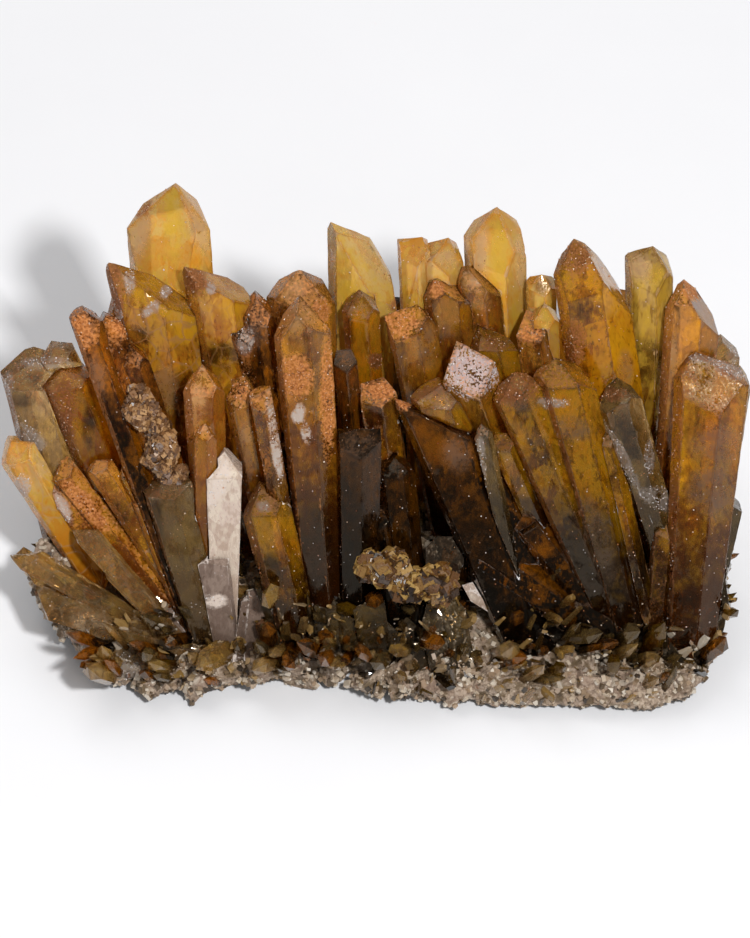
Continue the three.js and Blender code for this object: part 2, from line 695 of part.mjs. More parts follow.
// Crusts of coarse grains, each on the near side of the crystals that it grew on, with its ends as seen
const DRUSES = {
  sandy_druse: [[-35, 48, 40], [-30.6, 36, 28.6], 6, 2.3, 0.8, 151],
  orange_druse: [[-0.6, 22.6, 19.4], [8.6, 20.4, 18], 6, 2.3, 0.8, 157],
};

// The whole specimen

const rooms = [];
const group = new THREE.Group();

function place(name, finish, solid, taken) {
  const free = rooms.reduce((body, room) => body.subtract(room), solid);
  rooms.push(...taken);
  group.add(meshOf(name, free, finish));
}

for (const name of new Set(crystals.map((spec) => spec.node))) {
  const specs = crystals.filter((spec) => spec.node === name);
  const whole = join(specs.map((spec) => crystalSolid(spec)));
  place(name, specs[0].finish, whole, specs.map((spec) => crystalSolid(spec, GAP)));
}
for (const [name, [from, to, ...grains]] of Object.entries(DRUSES)) {
  const solid = join(rubble(seen(from).toArray(), seen(to).toArray(), ...grains));
  place(name, "coated", solid, [solid]);
}
place("matrix", "matrix", matrixBody(), []);

// The origin is under the middle of the specimen, on the plane that it stands on.
const box = new THREE.Box3().setFromObject(group);
const middle = box.getCenter(new THREE.Vector3());
group.position.set(-middle.x, -middle.y, -box.min.z);

export default group;
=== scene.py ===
# %% [markdown]
# # A baryte specimen
#
# The object is one rock: a fan of amber, yellow and smoky crystals that stand on a pale, granular matrix.
# The CAD model gives every crystal its planes and its place. This lesson dresses those solids for a close
# view: worn edges, clear and hazy crystal, sandy coats, a grainy matrix and the splinters at its foot.
# Everything is in metres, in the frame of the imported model.

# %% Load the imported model
import math
import random

import bmesh
import bpy
from mathutils import Euler, Matrix, Vector, noise


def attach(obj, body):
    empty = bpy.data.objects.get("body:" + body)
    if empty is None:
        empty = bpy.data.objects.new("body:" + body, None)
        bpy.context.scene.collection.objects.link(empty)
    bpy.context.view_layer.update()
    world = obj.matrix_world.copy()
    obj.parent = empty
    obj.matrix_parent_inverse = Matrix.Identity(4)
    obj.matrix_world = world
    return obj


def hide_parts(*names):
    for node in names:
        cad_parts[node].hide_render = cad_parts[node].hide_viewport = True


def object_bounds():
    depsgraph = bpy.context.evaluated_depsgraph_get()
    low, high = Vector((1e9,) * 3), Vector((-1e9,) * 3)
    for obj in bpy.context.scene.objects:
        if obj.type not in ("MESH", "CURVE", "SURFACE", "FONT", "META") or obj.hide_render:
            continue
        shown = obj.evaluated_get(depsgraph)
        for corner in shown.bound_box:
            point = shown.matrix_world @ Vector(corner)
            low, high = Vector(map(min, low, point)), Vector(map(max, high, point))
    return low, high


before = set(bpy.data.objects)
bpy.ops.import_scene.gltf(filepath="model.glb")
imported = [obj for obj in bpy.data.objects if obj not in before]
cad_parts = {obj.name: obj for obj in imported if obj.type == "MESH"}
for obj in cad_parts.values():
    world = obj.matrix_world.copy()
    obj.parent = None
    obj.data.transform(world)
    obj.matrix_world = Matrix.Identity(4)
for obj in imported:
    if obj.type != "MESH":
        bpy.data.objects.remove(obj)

CAD_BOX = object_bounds()
MM = 0.001
print("crystals and matrix:", len(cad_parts), "nodes")

# %% [markdown]
# ## Camera
#
# The photograph looks down at the cluster by about 55 degrees, from far enough away that parallel edges
# stay parallel. A long lens at 1.3 m gives that. The lens follows from how much of the scene the long side
# of the picture shows, so no guessing is left: 140.7 mm at 0.15 mm for each of its 938 pixels.

# %% Camera
VIEW_ELEVATION = math.radians(55)
VIEW_TARGET = Vector((0.0, 1.07, 20.0)) * MM
VIEW_DISTANCE = 1.3
PIXEL = 0.15 * MM
LONG_SIDE = 938 * PIXEL
SENSOR = 36.0

TO_VIEWER = Vector((0.0, -math.cos(VIEW_ELEVATION), math.sin(VIEW_ELEVATION)))
UP_PICTURE = Vector((0.0, math.sin(VIEW_ELEVATION), math.cos(VIEW_ELEVATION)))

camera_data = bpy.data.cameras.new("camera")
camera_data.sensor_width = SENSOR
camera_data.lens = SENSOR * VIEW_DISTANCE / LONG_SIDE
camera_data.clip_start = 0.05
camera_data.clip_end = 20.0
camera = bpy.data.objects.new("camera", camera_data)
camera.location = VIEW_TARGET + TO_VIEWER * VIEW_DISTANCE
camera.rotation_euler = Euler((math.pi / 2 - VIEW_ELEVATION, 0.0, 0.0))
bpy.context.scene.collection.objects.link(camera)
bpy.context.scene.camera = camera
print("lens", round(camera_data.lens, 1), "mm")


# %% [markdown]
# ## Finishes are node trees
#
# Each finish below is a short chain of shader nodes. One helper makes a node, sets its values and joins its
# sockets, so that a finish reads as a list of what it does. Colours are given as they look on a screen,
# from 0 to 255, and are turned into the linear values that light is reckoned in.

# %% Node helpers
def tone(red, green, blue):
    """A linear colour from screen values."""
    linear = []
    for value in (red, green, blue):
        share = value / 255
        linear.append(share / 12.92 if share <= 0.04045 else ((share + 0.055) / 1.055) ** 2.4)
    return (*linear, 1.0)


def add(tree, kind, inputs=(), **settings):
    """A shader node with its settings; an input is a value or the socket that feeds it."""
    made = tree.nodes.new("ShaderNode" + kind)
    for key, value in settings.items():
        setattr(made, key, value)
    for key, value in dict(inputs).items():
        if isinstance(value, bpy.types.NodeSocket):
            tree.links.new(value, made.inputs[key])
        else:
            made.inputs[key].default_value = value
    return made


def spread(tree, value, low, high, out_low=0.0, out_high=1.0):
    """The value stretched from low..high to out_low..out_high, and held there."""
    inputs = {"Value": value, "From Min": low, "From Max": high, "To Min": out_low, "To Max": out_high}
    return add(tree, "MapRange", inputs).outputs["Result"]


def sums(tree, operation, first, second):
    """One sum of two values."""
    return add(tree, "Math", {0: first, 1: second}, operation=operation).outputs[0]


def laid_over(tree, amount, below, above):
    """One colour laid over another by an amount."""
    mix = add(tree, "Mix", {0: amount, 6: below, 7: above}, data_type="RGBA")
    return mix.outputs[2]


def steps(tree, value, stops):
    """A colour that goes through several stops as the value rises."""
    ramp = add(tree, "ValToRGB", {0: value})
    for place, colour in stops[1:-1]:
        ramp.color_ramp.elements.new(place).color = colour
    for element, (place, colour) in zip(ramp.color_ramp.elements, stops):
        element.position = place
        element.color = colour
    return ramp.outputs[0]


def new_finish(name):
    """An empty material with its object coordinates in millimetres and its shader."""
    finish = bpy.data.materials.new(name)
    finish.use_nodes = True
    tree = finish.node_tree
    tree.nodes.clear()
    shader = add(tree, "BsdfPrincipled")
    output = add(tree, "OutputMaterial", {"Surface": shader.outputs[0]})
    here = add(tree, "TexCoord").outputs["Object"]
    place = add(tree, "Mapping", {"Vector": here, "Scale": (1 / MM,) * 3}).outputs[0]
    return finish, tree, shader, output, place


def cloudy(tree, place, size, detail=4.0, roughness=0.6, distortion=0.0):
    """Noise with lumps of about this size in millimetres, from 0 to 1."""
    inputs = {"Vector": place, "Scale": 1 / size, "Detail": detail, "Roughness": roughness}
    return add(tree, "TexNoise", {**inputs, "Distortion": distortion}).outputs["Fac"]


def stored(tree, name):
    """A value that is kept at the corners of the mesh."""
    return add(tree, "Attribute", attribute_name=name).outputs["Fac"]


print("white is", tone(255, 255, 255))

# %% [markdown]
# ## Floor and light
#
# A studio floor of pale card shows under and behind the specimen. The light is one soft box in front, to the
# right and high up, which throws the soft grey shadow to the back and the left, and a bright room that
# fills the rest. The picture shows colours as they are, with no film curve.

# %% Floor
FLOOR_HALF = 3.0


def make_floor():
    """A sheet of pale card."""
    bm = bmesh.new()
    bmesh.ops.create_grid(bm, x_segments=2, y_segments=2, size=FLOOR_HALF)
    mesh = bpy.data.meshes.new("floor")
    bm.to_mesh(mesh)
    bm.free()
    finish, tree, shader, _, place = new_finish("pale_card")
    grain = spread(tree, cloudy(tree, place, 60.0), 0.3, 0.7)
    card = laid_over(tree, grain, tone(243, 243, 245), tone(246, 246, 248))
    tree.links.new(card, shader.inputs["Base Color"])
    shader.inputs["Roughness"].default_value = 0.7
    mesh.materials.append(finish)
    floor = bpy.data.objects.new("floor", mesh)
    bpy.context.scene.collection.objects.link(floor)


make_floor()

# %% Light
KEY_FROM = Vector((0.25, -0.46, 0.85)).normalized()
TOP_FROM = Vector((-0.25, 0.45, 0.86)).normalized()
ROOM_LIGHT = 0.3


def make_softbox(name, from_side, distance, side, power):
    """A square soft light that faces the specimen."""
    data = bpy.data.lights.new(name, "AREA")
    data.shape = "SQUARE"
    data.size = side
    data.energy = power
    box = bpy.data.objects.new(name, data)
    box.location = VIEW_TARGET + from_side * distance
    box.rotation_euler = from_side.to_track_quat("Z", "Y").to_euler()
    bpy.context.scene.collection.objects.link(box)


make_softbox("key_softbox", KEY_FROM, 0.7, 0.06, 3.45)
make_softbox("top_softbox", TOP_FROM, 1.2, 0.9, 4.8)

room = bpy.data.worlds.new("room")
room.use_nodes = True
room.node_tree.nodes["Background"].inputs["Color"].default_value = (0.99, 0.99, 1.0, 1.0)
room.node_tree.nodes["Background"].inputs["Strength"].default_value = ROOM_LIGHT
bpy.context.scene.world = room
bpy.context.scene.view_settings.view_transform = "Standard"
bpy.context.scene.view_settings.look = "None"
bpy.context.scene.cycles.max_bounces = 6
bpy.context.scene.cycles.transmission_bounces = 5
bpy.context.scene.cycles.glossy_bounces = 2
bpy.context.scene.cycles.diffuse_bounces = 1
print("key light from", [round(v, 2) for v in KEY_FROM])

# %% [markdown]
# ## The crystal finish
#
# A crystal in this cluster is dark where it grows from the rock, amber in the middle and clear or hazy at
# its point; the dark foot is partly its own smoky colour and partly painted shade near the rock. Over that lie
# a milky haze, in places with a painted reflection, pale patches that are partly its own colour and partly
# painted glints, a fine sandy coat of iron oxide, and a painted glow where light passes through. Facets,
# inner planes and streaks are painted lighter where light would catch them and darker where it would not,
# and beside each crease lies a painted shade, with a pale line of wear and painted highlight on the crease.
# The finish keeps the same order. The mesh stores how far up its crystal each corner is, and how much
# painted glow, smoke and painted shade, haze and painted reflection, pale and coat it has, and noise breaks
# up the borders. The body is see-through with plain absorption, so that thick places are darker.

# %% Crystal finish
CRYSTAL_IOR = 1.64
STRETCH = 0.22


def signed(tree, value, strength):
    """A value round a half turned into one round nought."""
    return sums(tree, "MULTIPLY", sums(tree, "SUBTRACT", value, 0.5), strength)


def crack_lines(tree, place):
    """Thin bright lines where the crystal is cracked inside."""
    bent = add(tree, "TexNoise", {"Vector": place, "Scale": 0.5, "Detail": 1.0}).outputs["Color"]
    moved = add(tree, "VectorMath", {0: place, 1: bent}, operation="ADD").outputs[0]
    cells = add(tree, "TexVoronoi", {"Vector": moved, "Scale": 0.3}, feature="DISTANCE_TO_EDGE")
    return spread(tree, cells.outputs["Distance"], 0.0, 0.06, 1.0, 0.0)


def inner_planes(tree, drawn_out, clouds):
    """A different number for each plane that shows inside a crystal, which sets where its painted light and painted
    shade go, as light would bend round it.
    """
    bent = add(tree, "TexNoise", {"Vector": drawn_out, "Scale": 0.45, "Detail": 0.0}).outputs["Color"]
    push = add(tree, "VectorMath", {0: bent, 1: (2.2, 2.2, 2.2)}, operation="MULTIPLY").outputs[0]
    moved = add(tree, "VectorMath", {0: drawn_out, 1: push}, operation="ADD").outputs[0]
    cells = add(tree, "TexVoronoi", {"Vector": moved, "Scale": 0.42}, feature="F1")
    plane = add(tree, "SeparateColor", {0: cells.outputs["Color"]}).outputs[0]
    return sums(tree, "ADD", plane, signed(tree, clouds, 0.5))


def crystal_colour(tree, place, look):
    """The colour of a crystal with its painted glow, shade and highlights, and how much haze and painted reflection and
    sandy coat lies on it.
    """
    clouds = cloudy(tree, place, 3.2, 2.0)
    grains = cloudy(tree, place, 0.4, 1.0, 0.7)
    drawn_out = add(tree, "Mapping", {"Vector": place, "Scale": (1.0, 1.0, STRETCH)}).outputs[0]
    streaks = cloudy(tree, drawn_out, 0.6, 1.0, 0.7)
    rise = sums(tree, "ADD", stored(tree, "rise"), signed(tree, clouds, look["sway"]))
    # Dark at the root, which is partly the crystal's smoky colour and partly painted shade near the rock, amber in the
    # middle and light at the tip.
    stops = [(0.05, tone(*look["root"])), (0.34, tone(*look["low"])), (0.62, tone(*look["body"])),
             (0.93, tone(*look["tip"]))]
    colour = steps(tree, rise, stops)
    planes = inner_planes(tree, drawn_out, clouds)
    # Painted light and shade: the upper, lit part of each facet, inner plane and streak is laid lighter in the glow
    # tone, and some are laid darker in the low tone.
    lit = spread(tree, rise, 0.22, 0.6)
    facet = sums(tree, "ADD", stored(tree, "facet"), signed(tree, clouds, 0.6))
    painted_facet_light = sums(tree, "MULTIPLY", spread(tree, facet, 0.62, 0.9, 0.0, 0.5), lit)
    colour = laid_over(tree, painted_facet_light, colour, tone(*look["painted_glow"]))
    colour = laid_over(tree, spread(tree, facet, 0.4, 0.1, 0.0, 0.6), colour, tone(*look["low"]))
    painted_plane_light = sums(tree, "MULTIPLY", spread(tree, planes, 0.62, 0.7, 0.0, look["depth"]), lit)
    colour = laid_over(tree, painted_plane_light, colour, tone(*look["painted_glow"]))
    colour = laid_over(tree, spread(tree, planes, 0.38, 0.28, 0.0, look["depth"]), colour, tone(*look["low"]))
    painted_streak_light = sums(tree, "MULTIPLY", spread(tree, streaks, 0.52, 0.72, 0.0, 0.6), lit)
    colour = laid_over(tree, painted_streak_light, colour, tone(*look["painted_glow"]))
    colour = laid_over(tree, spread(tree, streaks, 0.46, 0.3, 0.0, 0.6), colour, tone(*look["low"]))

    def patchy(name, low, high, wide, fine, most):
        broken = sums(tree, "ADD", 0.9, sums(tree, "ADD", signed(tree, clouds, wide), signed(tree, grains, fine)))
        kept = sums(tree, "MULTIPLY", stored(tree, name), broken)
        return spread(tree, kept, low, high, 0.0, most)

    # A painted glow where light passes through, then the dark root tone on smoky places and painted shade.
    for name, tone_name in (("painted_glow", "painted_glow"), ("smoke_and_shade", "root")):
        colour = laid_over(tree, patchy(name, 0.1, 1.1, 3.0, 0.6, 0.9), colour, tone(*look[tone_name]))
    # Milky haze, and in places a painted reflection of the light.
    haze = patchy("haze", 0.1, 1.2, 2.5, 1.5, 0.75)
    colour = laid_over(tree, haze, colour, tone(*look["haze"]))
    # Pale patches in the white tone: partly the crystal's own pale colour and partly painted glints and reflections.
    pale_and_glint = patchy("pale", 0.25, 0.8, 3.0, look["flake"], 1.0)
    colour = laid_over(tree, pale_and_glint, colour, tone(*look["white"]))
    if look["cracks"]:
        lines = sums(tree, "MULTIPLY", crack_lines(tree, place), look["cracks"])
        colour = laid_over(tree, lines, colour, tone(*look["haze"]))
    # Painted shade beside each crease in the low tone, and on the crease a pale line in the haze tone, partly rubbed
    # wear and partly painted highlight.
    near_edge = sums(tree, "ADD", stored(tree, "edge"), signed(tree, streaks, 1.0))
    colour = laid_over(tree, spread(tree, near_edge, 0.3, 0.9, 0.0, 0.6), colour, tone(*look["low"]))
    wear_and_painted_highlight = spread(tree, sums(tree, "ADD", near_edge, signed(tree, clouds, 1.0)), 0.85, 1.05, 0.0, 0.9)
    colour = laid_over(tree, wear_and_painted_highlight, colour, tone(*look["haze"]))
    coat = sums(tree, "MULTIPLY", patchy("coat", 0.15, 0.7, 2.5, 3.0, 1.0), 0.9)
    sand = laid_over(tree, spread(tree, grains, 0.35, 0.65), tone(*look["coat"]), tone(*look["coat_light"]))
    colour = laid_over(tree, coat, colour, sand)
    return colour, sums(tree, "MAXIMUM", haze, pale_and_glint), coat, grains, streaks


def crystal_finish(name, look):
    """The finish of one crystal."""
    finish, tree, shader, output, place = new_finish(name)
    colour, haze, coat, grains, streaks = crystal_colour(tree, place, look)
    tree.links.new(colour, shader.inputs["Base Color"])
    dull = sums(tree, "MAXIMUM", sums(tree, "MULTIPLY", haze, 0.5), coat)
    polish = spread(tree, streaks, 0.3, 0.7, look["rough"] - 0.04, look["rough"] + 0.12)
    tree.links.new(spread(tree, dull, 0.0, 1.0, polish, 0.85), shader.inputs["Roughness"])
    if look["coated"]:
        clear = spread(tree, dull, 0.0, 1.0, look["see"], 0.04)
        tree.links.new(clear, shader.inputs["Transmission Weight"])
    else:
        shader.inputs["Transmission Weight"].default_value = look["see"]
    shader.inputs["IOR"].default_value = CRYSTAL_IOR
    shader.inputs["Specular IOR Level"].default_value = 0.25
    gloss = look["gloss"]
    shader.inputs["Specular Tint"].default_value = (gloss, 0.82 * gloss, 0.6 * gloss, 1.0)
    bump = add(tree, "Bump", {"Height": streaks, "Strength": 0.5, "Distance": 0.06 * MM})
    tree.links.new(bump.outputs[0], shader.inputs["Normal"])
    if look["density"]:
        depth = add(tree, "VolumeAbsorption", {"Color": tone(*look["through"]), "Density": look["density"]})
        tree.links.new(depth.outputs[0], output.inputs["Volume"])
    return finish


# %% [markdown]
# ## The palette
#
# Seven kinds of crystal show in the cluster. Each kind is a set of tones and of three numbers: how much
# light goes through, how rough the faces are, and how fast the body darkens what passes.

# %% Palette
# Among the tones, glow is a painted glow where light passes through, white is partly pale colour and partly painted
# glints, haze is milky haze and in places a painted reflection, and root and low are also laid as painted shade.
SAND = dict(coat=(146, 78, 32), coat_light=(216, 142, 84), cracks=0.0, sway=0.55, dust=0.5, depth=0.5, gloss=0.6,
            white=(236, 218, 204), flake=1.5)
KINDS = {
    "coated": dict(SAND, root=(40, 20, 8), low=(112, 58, 14), body=(212, 130, 36), tip=(236, 168, 84),
                   painted_glow=(252, 176, 32), haze=(212, 164, 116), through=(240, 156, 40), see=0.78, rough=0.12, density=34),
    "smoky": dict(SAND, root=(9, 6, 4), low=(26, 16, 9), body=(78, 46, 20), tip=(158, 102, 54),
                  painted_glow=(220, 130, 18), haze=(136, 102, 80), through=(180, 110, 36), see=0.82, rough=0.07, density=60,
                   gloss=0.35),
    "amber": dict(SAND, root=(34, 16, 4), low=(126, 62, 6), body=(248, 156, 18), tip=(255, 188, 68),
                  painted_glow=(255, 186, 24), haze=(214, 162, 102), through=(252, 180, 30), see=0.78, rough=0.07, density=22),
    "olive": dict(SAND, root=(40, 28, 18), low=(104, 78, 44), body=(162, 126, 70), tip=(206, 172, 116),
                  painted_glow=(222, 178, 96), haze=(206, 182, 150), through=(228, 192, 132), see=0.85, rough=0.05, density=26),
    "pale": dict(SAND, root=(66, 48, 26), low=(140, 104, 56), body=(200, 156, 90), tip=(232, 196, 144),
                 painted_glow=(240, 190, 90), haze=(220, 196, 164), through=(232, 190, 120), see=0.8, rough=0.08, density=18),
    "cleavage": dict(SAND, root=(150, 124, 104), low=(200, 174, 154), body=(228, 204, 188), tip=(232, 210, 196),
                     painted_glow=(250, 234, 212), haze=(250, 236, 226), through=(240, 220, 200), see=0.25, rough=0.24,
                     density=0, dust=0.05),
    "yellow": dict(SAND, root=(120, 60, 6), low=(240, 156, 34), body=(255, 198, 82), tip=(255, 214, 142),
                   painted_glow=(255, 206, 70), haze=(236, 194, 146), through=(255, 206, 112), see=0.56, rough=0.08,
                   density=8, dust=0.3),
}
COATED_KINDS = ("coated", "smoky", "cleavage")
for kind, values in KINDS.items():
    values["coated"] = kind in COATED_KINDS
print("kinds of crystal:", ", ".join(KINDS))


# %% [markdown]
# ## From solid to crystal
#
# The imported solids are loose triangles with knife-sharp edges. A real crystal has flat faces whose edges are
# slightly rounded and chipped, and faces that are not perfect mirrors. So a copy is merged, the lines
# across flat faces are dissolved, its edges are bevelled by a tenth of a millimetre, and the faces are split
# finely enough for a slow noise to sway them. The crease between faces stays sharp in the shading.

# %% Copy, wear and sway
WELD = 0.002 * MM
CREASE = math.radians(18)
EDGE_WEAR = 0.13 * MM
FACE_STEP = 1.2 * MM
FLAT = math.radians(1)
SPLIT_ROUNDS = 6
FACE_SWAY = 0.07 * MM
CHIP_DEPTH = 0.14 * MM


def merged_copy(node):
    """A bmesh of the solid, welded, with no lines across its flat faces and a number for each facet."""
    bm = bmesh.new()
    bm.from_mesh(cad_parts[node].data)
    bmesh.ops.remove_doubles(bm, verts=bm.verts, dist=WELD)
    bmesh.ops.dissolve_limit(bm, angle_limit=math.radians(1), verts=bm.verts, edges=bm.edges)
    facet = bm.faces.layers.float.new("facet")
    chance = random.Random(node)
    for face in bm.faces:
        face[facet] = chance.random()
    return bm


def creases(bm):
    """The edges between faces that meet at an angle."""
    return [e for e in bm.edges if len(e.link_faces) == 2 and e.calc_face_angle() > CREASE]


def split_long_edges(bm, longest):
    """Halves the edges that are longer than this, over a few rounds."""
    bmesh.ops.triangulate(bm, faces=bm.faces)
    flat = [e for e in bm.edges if len(e.link_faces) == 2 and e.calc_face_angle() < FLAT]
    bmesh.ops.beautify_fill(bm, faces=bm.faces, edges=flat)
    for _ in range(SPLIT_ROUNDS):
        long = [e for e in bm.edges if e.calc_length() > longest]
        if not long:
            break
        bmesh.ops.subdivide_edges(bm, edges=long, cuts=1)
        bmesh.ops.triangulate(bm, faces=[f for f in bm.faces if len(f.verts) > 3])


def sway_faces(bm, depth, seed):
    """Moves each corner a little along its normal, and chips the creases inwards."""
    bm.normal_update()
    on_crease = {v for e in creases(bm) for v in e.verts}
    for edge in bm.edges:
        edge.smooth = len(edge.link_faces) == 2 and edge.calc_face_angle() <= CREASE
    shift = Vector((seed * 3.7, seed * 1.3, seed * 7.1))
    moves = []
    for v in bm.verts:
        spot = v.co / MM
        slow = noise.noise(spot * 0.33 + shift) + 0.5 * noise.noise(spot * 0.9 + shift)
        move = slow * depth
        if v in on_crease:
            chip = max(0.0, noise.noise(spot * 1.1 + shift) - 0.12)
            move -= chip * CHIP_DEPTH * 3
        moves.append(move)
    for v, move in zip(bm.verts, moves):
        v.co += v.normal * move
    for face in bm.faces:
        face.smooth = True


# %% [markdown]
# ## Paint on the corners
#
# Some of what the specimen shows belongs to one place: a milky patch, a rust-coloured stain, and painted
# light, such as a painted glow on a facet, a painted shade, a painted glint and a painted reflection. Each is
# written as an ellipse in the picture, with its middle, its two half-widths and its turn, in the
# photograph's pixels. A corner of the mesh takes it if it lies inside and faces the viewer. Corners on the
# hidden side take only the general rules: a dusting on what faces up or to the left, and a painted glow on
# what faces right, where the light comes in.

# %% Painting
ORIGIN_ACROSS = 375
ORIGIN_DOWN = 717
CAD_SHIFT = Vector((0.047, -30.342, 0.0))
CHANNELS = ("coat", "haze", "painted_glow", "smoke_and_shade", "pale", "edge")
DUSTY_LEFT = Vector((-0.92, 0.0, 0.38))
DUSTY_TOP = 0.8
PAINTED_GLOW_RIGHT = 0.45


def in_picture(point):
    """Where a point lies in the picture, in pixels across and down."""
    spot = point / MM - CAD_SHIFT
    across = ORIGIN_ACROSS + spot.x * MM / PIXEL
    down = ORIGIN_DOWN - spot.dot(UP_PICTURE) * MM / PIXEL
    return across, down


def eased(value, low, high):
    """0 below low, 1 above high and smooth between them."""
    share = min(1.0, max(0.0, (value - low) / (high - low)))
    return share * share * (3 - 2 * share)


def inside(patch, across, down):
    """How far inside a patch a place in the picture is, from 0 to 1."""
    _, x, y, half_x, half_y, turn = patch
    angle = math.radians(turn)
    dx = across - x
    dy = down - y
    along = (dx * math.cos(angle) + dy * math.sin(angle)) / half_x
    beside = (-dx * math.sin(angle) + dy * math.cos(angle)) / half_y
    return eased(1.4 - math.hypot(along, beside), 0.0, 1.0)


def paint(mesh, look, patches):
    """Stores how high each corner lies, and how much of every patch it takes."""
    heights = [v.co.z for v in mesh.vertices]
    foot, tall = min(heights), max(heights) - min(heights)
    values = {name: [0.0] * len(heights) for name in CHANNELS}
    for index, v in enumerate(mesh.vertices):
        normal = v.normal
        from_left = eased(normal.dot(DUSTY_LEFT), 0.3, 0.8)
        from_top = DUSTY_TOP * eased(normal.z, 0.35, 0.8)
        values["coat"][index] = look["dust"] * max(from_left, from_top)
        height = eased((v.co.z - foot) / tall, 0.25, 0.6)
        # A painted glow on what faces right, where the light comes in, more of it higher up the crystal.
        values["painted_glow"][index] = PAINTED_GLOW_RIGHT * height * eased(normal.x, 0.3, 0.8)
        facing = eased(normal.dot(TO_VIEWER), -0.05, 0.2)
        if facing:
            across, down = in_picture(v.co)
            for patch in patches:
                amount = facing * inside(patch, across, down)
                name = patch[0]
                values[name][index] = max(values[name][index], amount)
    values["rise"] = [(z - foot) / tall for z in heights]
    for edge in mesh.edges:
        if edge.use_edge_sharp:
            for index in edge.vertices:
                values["edge"][index] = 1.0
    for name, numbers in values.items():
        mesh.attributes.new(name, "FLOAT", "POINT").data.foreach_set("value", numbers)


# %% [markdown]
# ## One crystal after another
#
# Every node goes through the same hands, with its own kind, its own tones where they differ, and the patches
# that the photograph shows on it.

# %% Dress a node
triangles_made = 0
dressed = {}


def hand_over(name, bm, finish, replaced=()):
    """Makes the piece an object, gives it its finish and its place in the model."""
    global triangles_made
    mesh = bpy.data.meshes.new(name)
    bm.to_mesh(mesh)
    bm.free()
    mesh.materials.append(finish)
    mesh.calc_loop_triangles()
    triangles_made += len(mesh.loop_triangles)
    piece = bpy.data.objects.new(name, mesh)
    bpy.context.scene.collection.objects.link(piece)
    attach(piece, "root")
    if replaced:
        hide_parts(*replaced)
    return piece


TONES = ("root", "low", "body", "tip", "painted_glow", "haze")


def lifted(colour, share):
    """Screen values made lighter or darker by a share, but never past white, so that the hue stays."""
    share = min(share, 255 / max(colour))
    return tuple(value * share for value in colour)


def dress(node, kind, patches=(), lift=1.0, foot=1.0, **changes):
    """The crystal of one node, dressed; lift and foot lighten all of it or its lower part."""
    look = dict(KINDS[kind], **changes)
    look.update({name: lifted(look[name], lift) for name in TONES})
    look.update({name: lifted(look[name], foot) for name in ("root", "low")})
    bm = merged_copy(node)
    bmesh.ops.bevel(bm, geom=creases(bm), offset=EDGE_WEAR, offset_type="OFFSET", segments=1,
                    profile=0.5, affect="EDGES", clamp_overlap=True, material=-1)
    split_long_edges(bm, FACE_STEP)
    sway_faces(bm, FACE_SWAY, len(node))
    piece = hand_over(node + "_crystal", bm, crystal_finish(node, look), [node])
    paint(piece.data, look, patches)
    dressed[node] = piece


# %% [markdown]
# ### The front row

# %% Front row
# In these lists the glow patches are a painted glow, the smoke patches are the crystal's smoky colour and painted
# shade, the haze patches are milky haze and in places a painted reflection, and the pale patches are pale colour and
# painted glints.
dress("big_long", "coated", [
    ("haze", 300, 318, 20, 20, 0), ("painted_glow", 288, 350, 20, 8, 0), ("coat", 295, 378, 20, 22, 0),
    ("pale", 299, 414, 7, 11, 20), ("pale", 307, 434, 6, 13, -20), ("pale", 276, 440, 50, 6, 82), ("coat", 328, 400, 8, 60, 0),
    ("smoke_and_shade", 315, 550, 26, 60, 0)])
dress("broad_dark", "smoky", [
    ("painted_glow", 414, 455, 52, 10, 65), ("painted_glow", 432, 440, 12, 26, -15), ("haze", 457, 452, 18, 22, 0),
    ("coat", 400, 404, 10, 8, 20),
    ("smoke_and_shade", 458, 525, 40, 74, -25)], dust=0.15)
dress("broad_pair", "amber", [
    ("coat", 514, 388, 24, 18, 0), ("haze", 520, 404, 22, 8, 0), ("painted_glow", 512, 440, 12, 26, -20),
    ("painted_glow", 562, 388, 16, 16, 0), ("haze", 568, 428, 20, 12, 20), ("pale", 550, 404, 18, 5, 0),
    ("smoke_and_shade", 575, 560, 50, 70, 0), ("haze", 597, 540, 13, 44, -15)],
      foot=0.5, haze=(150, 122, 98), body=(222, 138, 20))
# On this crystal the haze patches are a painted reflection of the light and the pale ones painted glints.
dress("right_broad", "amber", [
    ("pale", 692, 360, 22, 7, 15), ("pale", 726, 372, 22, 8, 18), ("painted_glow", 716, 392, 28, 11, -8),
    ("coat", 684, 376, 8, 8, 0), ("haze", 712, 445, 28, 24, 0), ("haze", 712, 490, 28, 28, 0),
    ("painted_glow", 674, 440, 9, 60, 0), ("pale", 743, 455, 6, 34, 0)], haze=(168, 138, 120), foot=0.9)
dress("clear_front", "olive", [
    ("pale", 657, 498, 24, 12, 20), ("pale", 618, 455, 43, 6, 61), ("pale", 646, 458, 18, 6, 90),
    ("coat", 612, 395, 16, 7, 0), ("painted_glow", 606, 458, 40, 6, 61), ("smoke_and_shade", 625, 440, 16, 28, -20)], dust=0.1)
dress("slender_blade", "pale", [("pale", 480, 462, 32, 5, 85)], lift=0.75, foot=0.6)
dress("tan_point", "coated", [
    ("haze", 198, 402, 12, 30, 0), ("painted_glow", 203, 442, 12, 20, 0), ("coat", 187, 430, 8, 40, 0)], lift=1.15, foot=1.4)
dress("orange_grey", "coated", [
    ("coat", 240, 392, 12, 14, 0), ("painted_glow", 233, 425, 8, 34, 0), ("haze", 247, 450, 8, 30, 0)])
dress("white_cleavage", "cleavage", [("pale", 222, 480, 10, 30, 20)])
dress("amber_low", "amber", [
    ("painted_glow", 262, 522, 14, 26, 0), ("pale", 264, 506, 8, 5, 20), ("smoke_and_shade", 275, 570, 20, 20, 0)], foot=0.55)
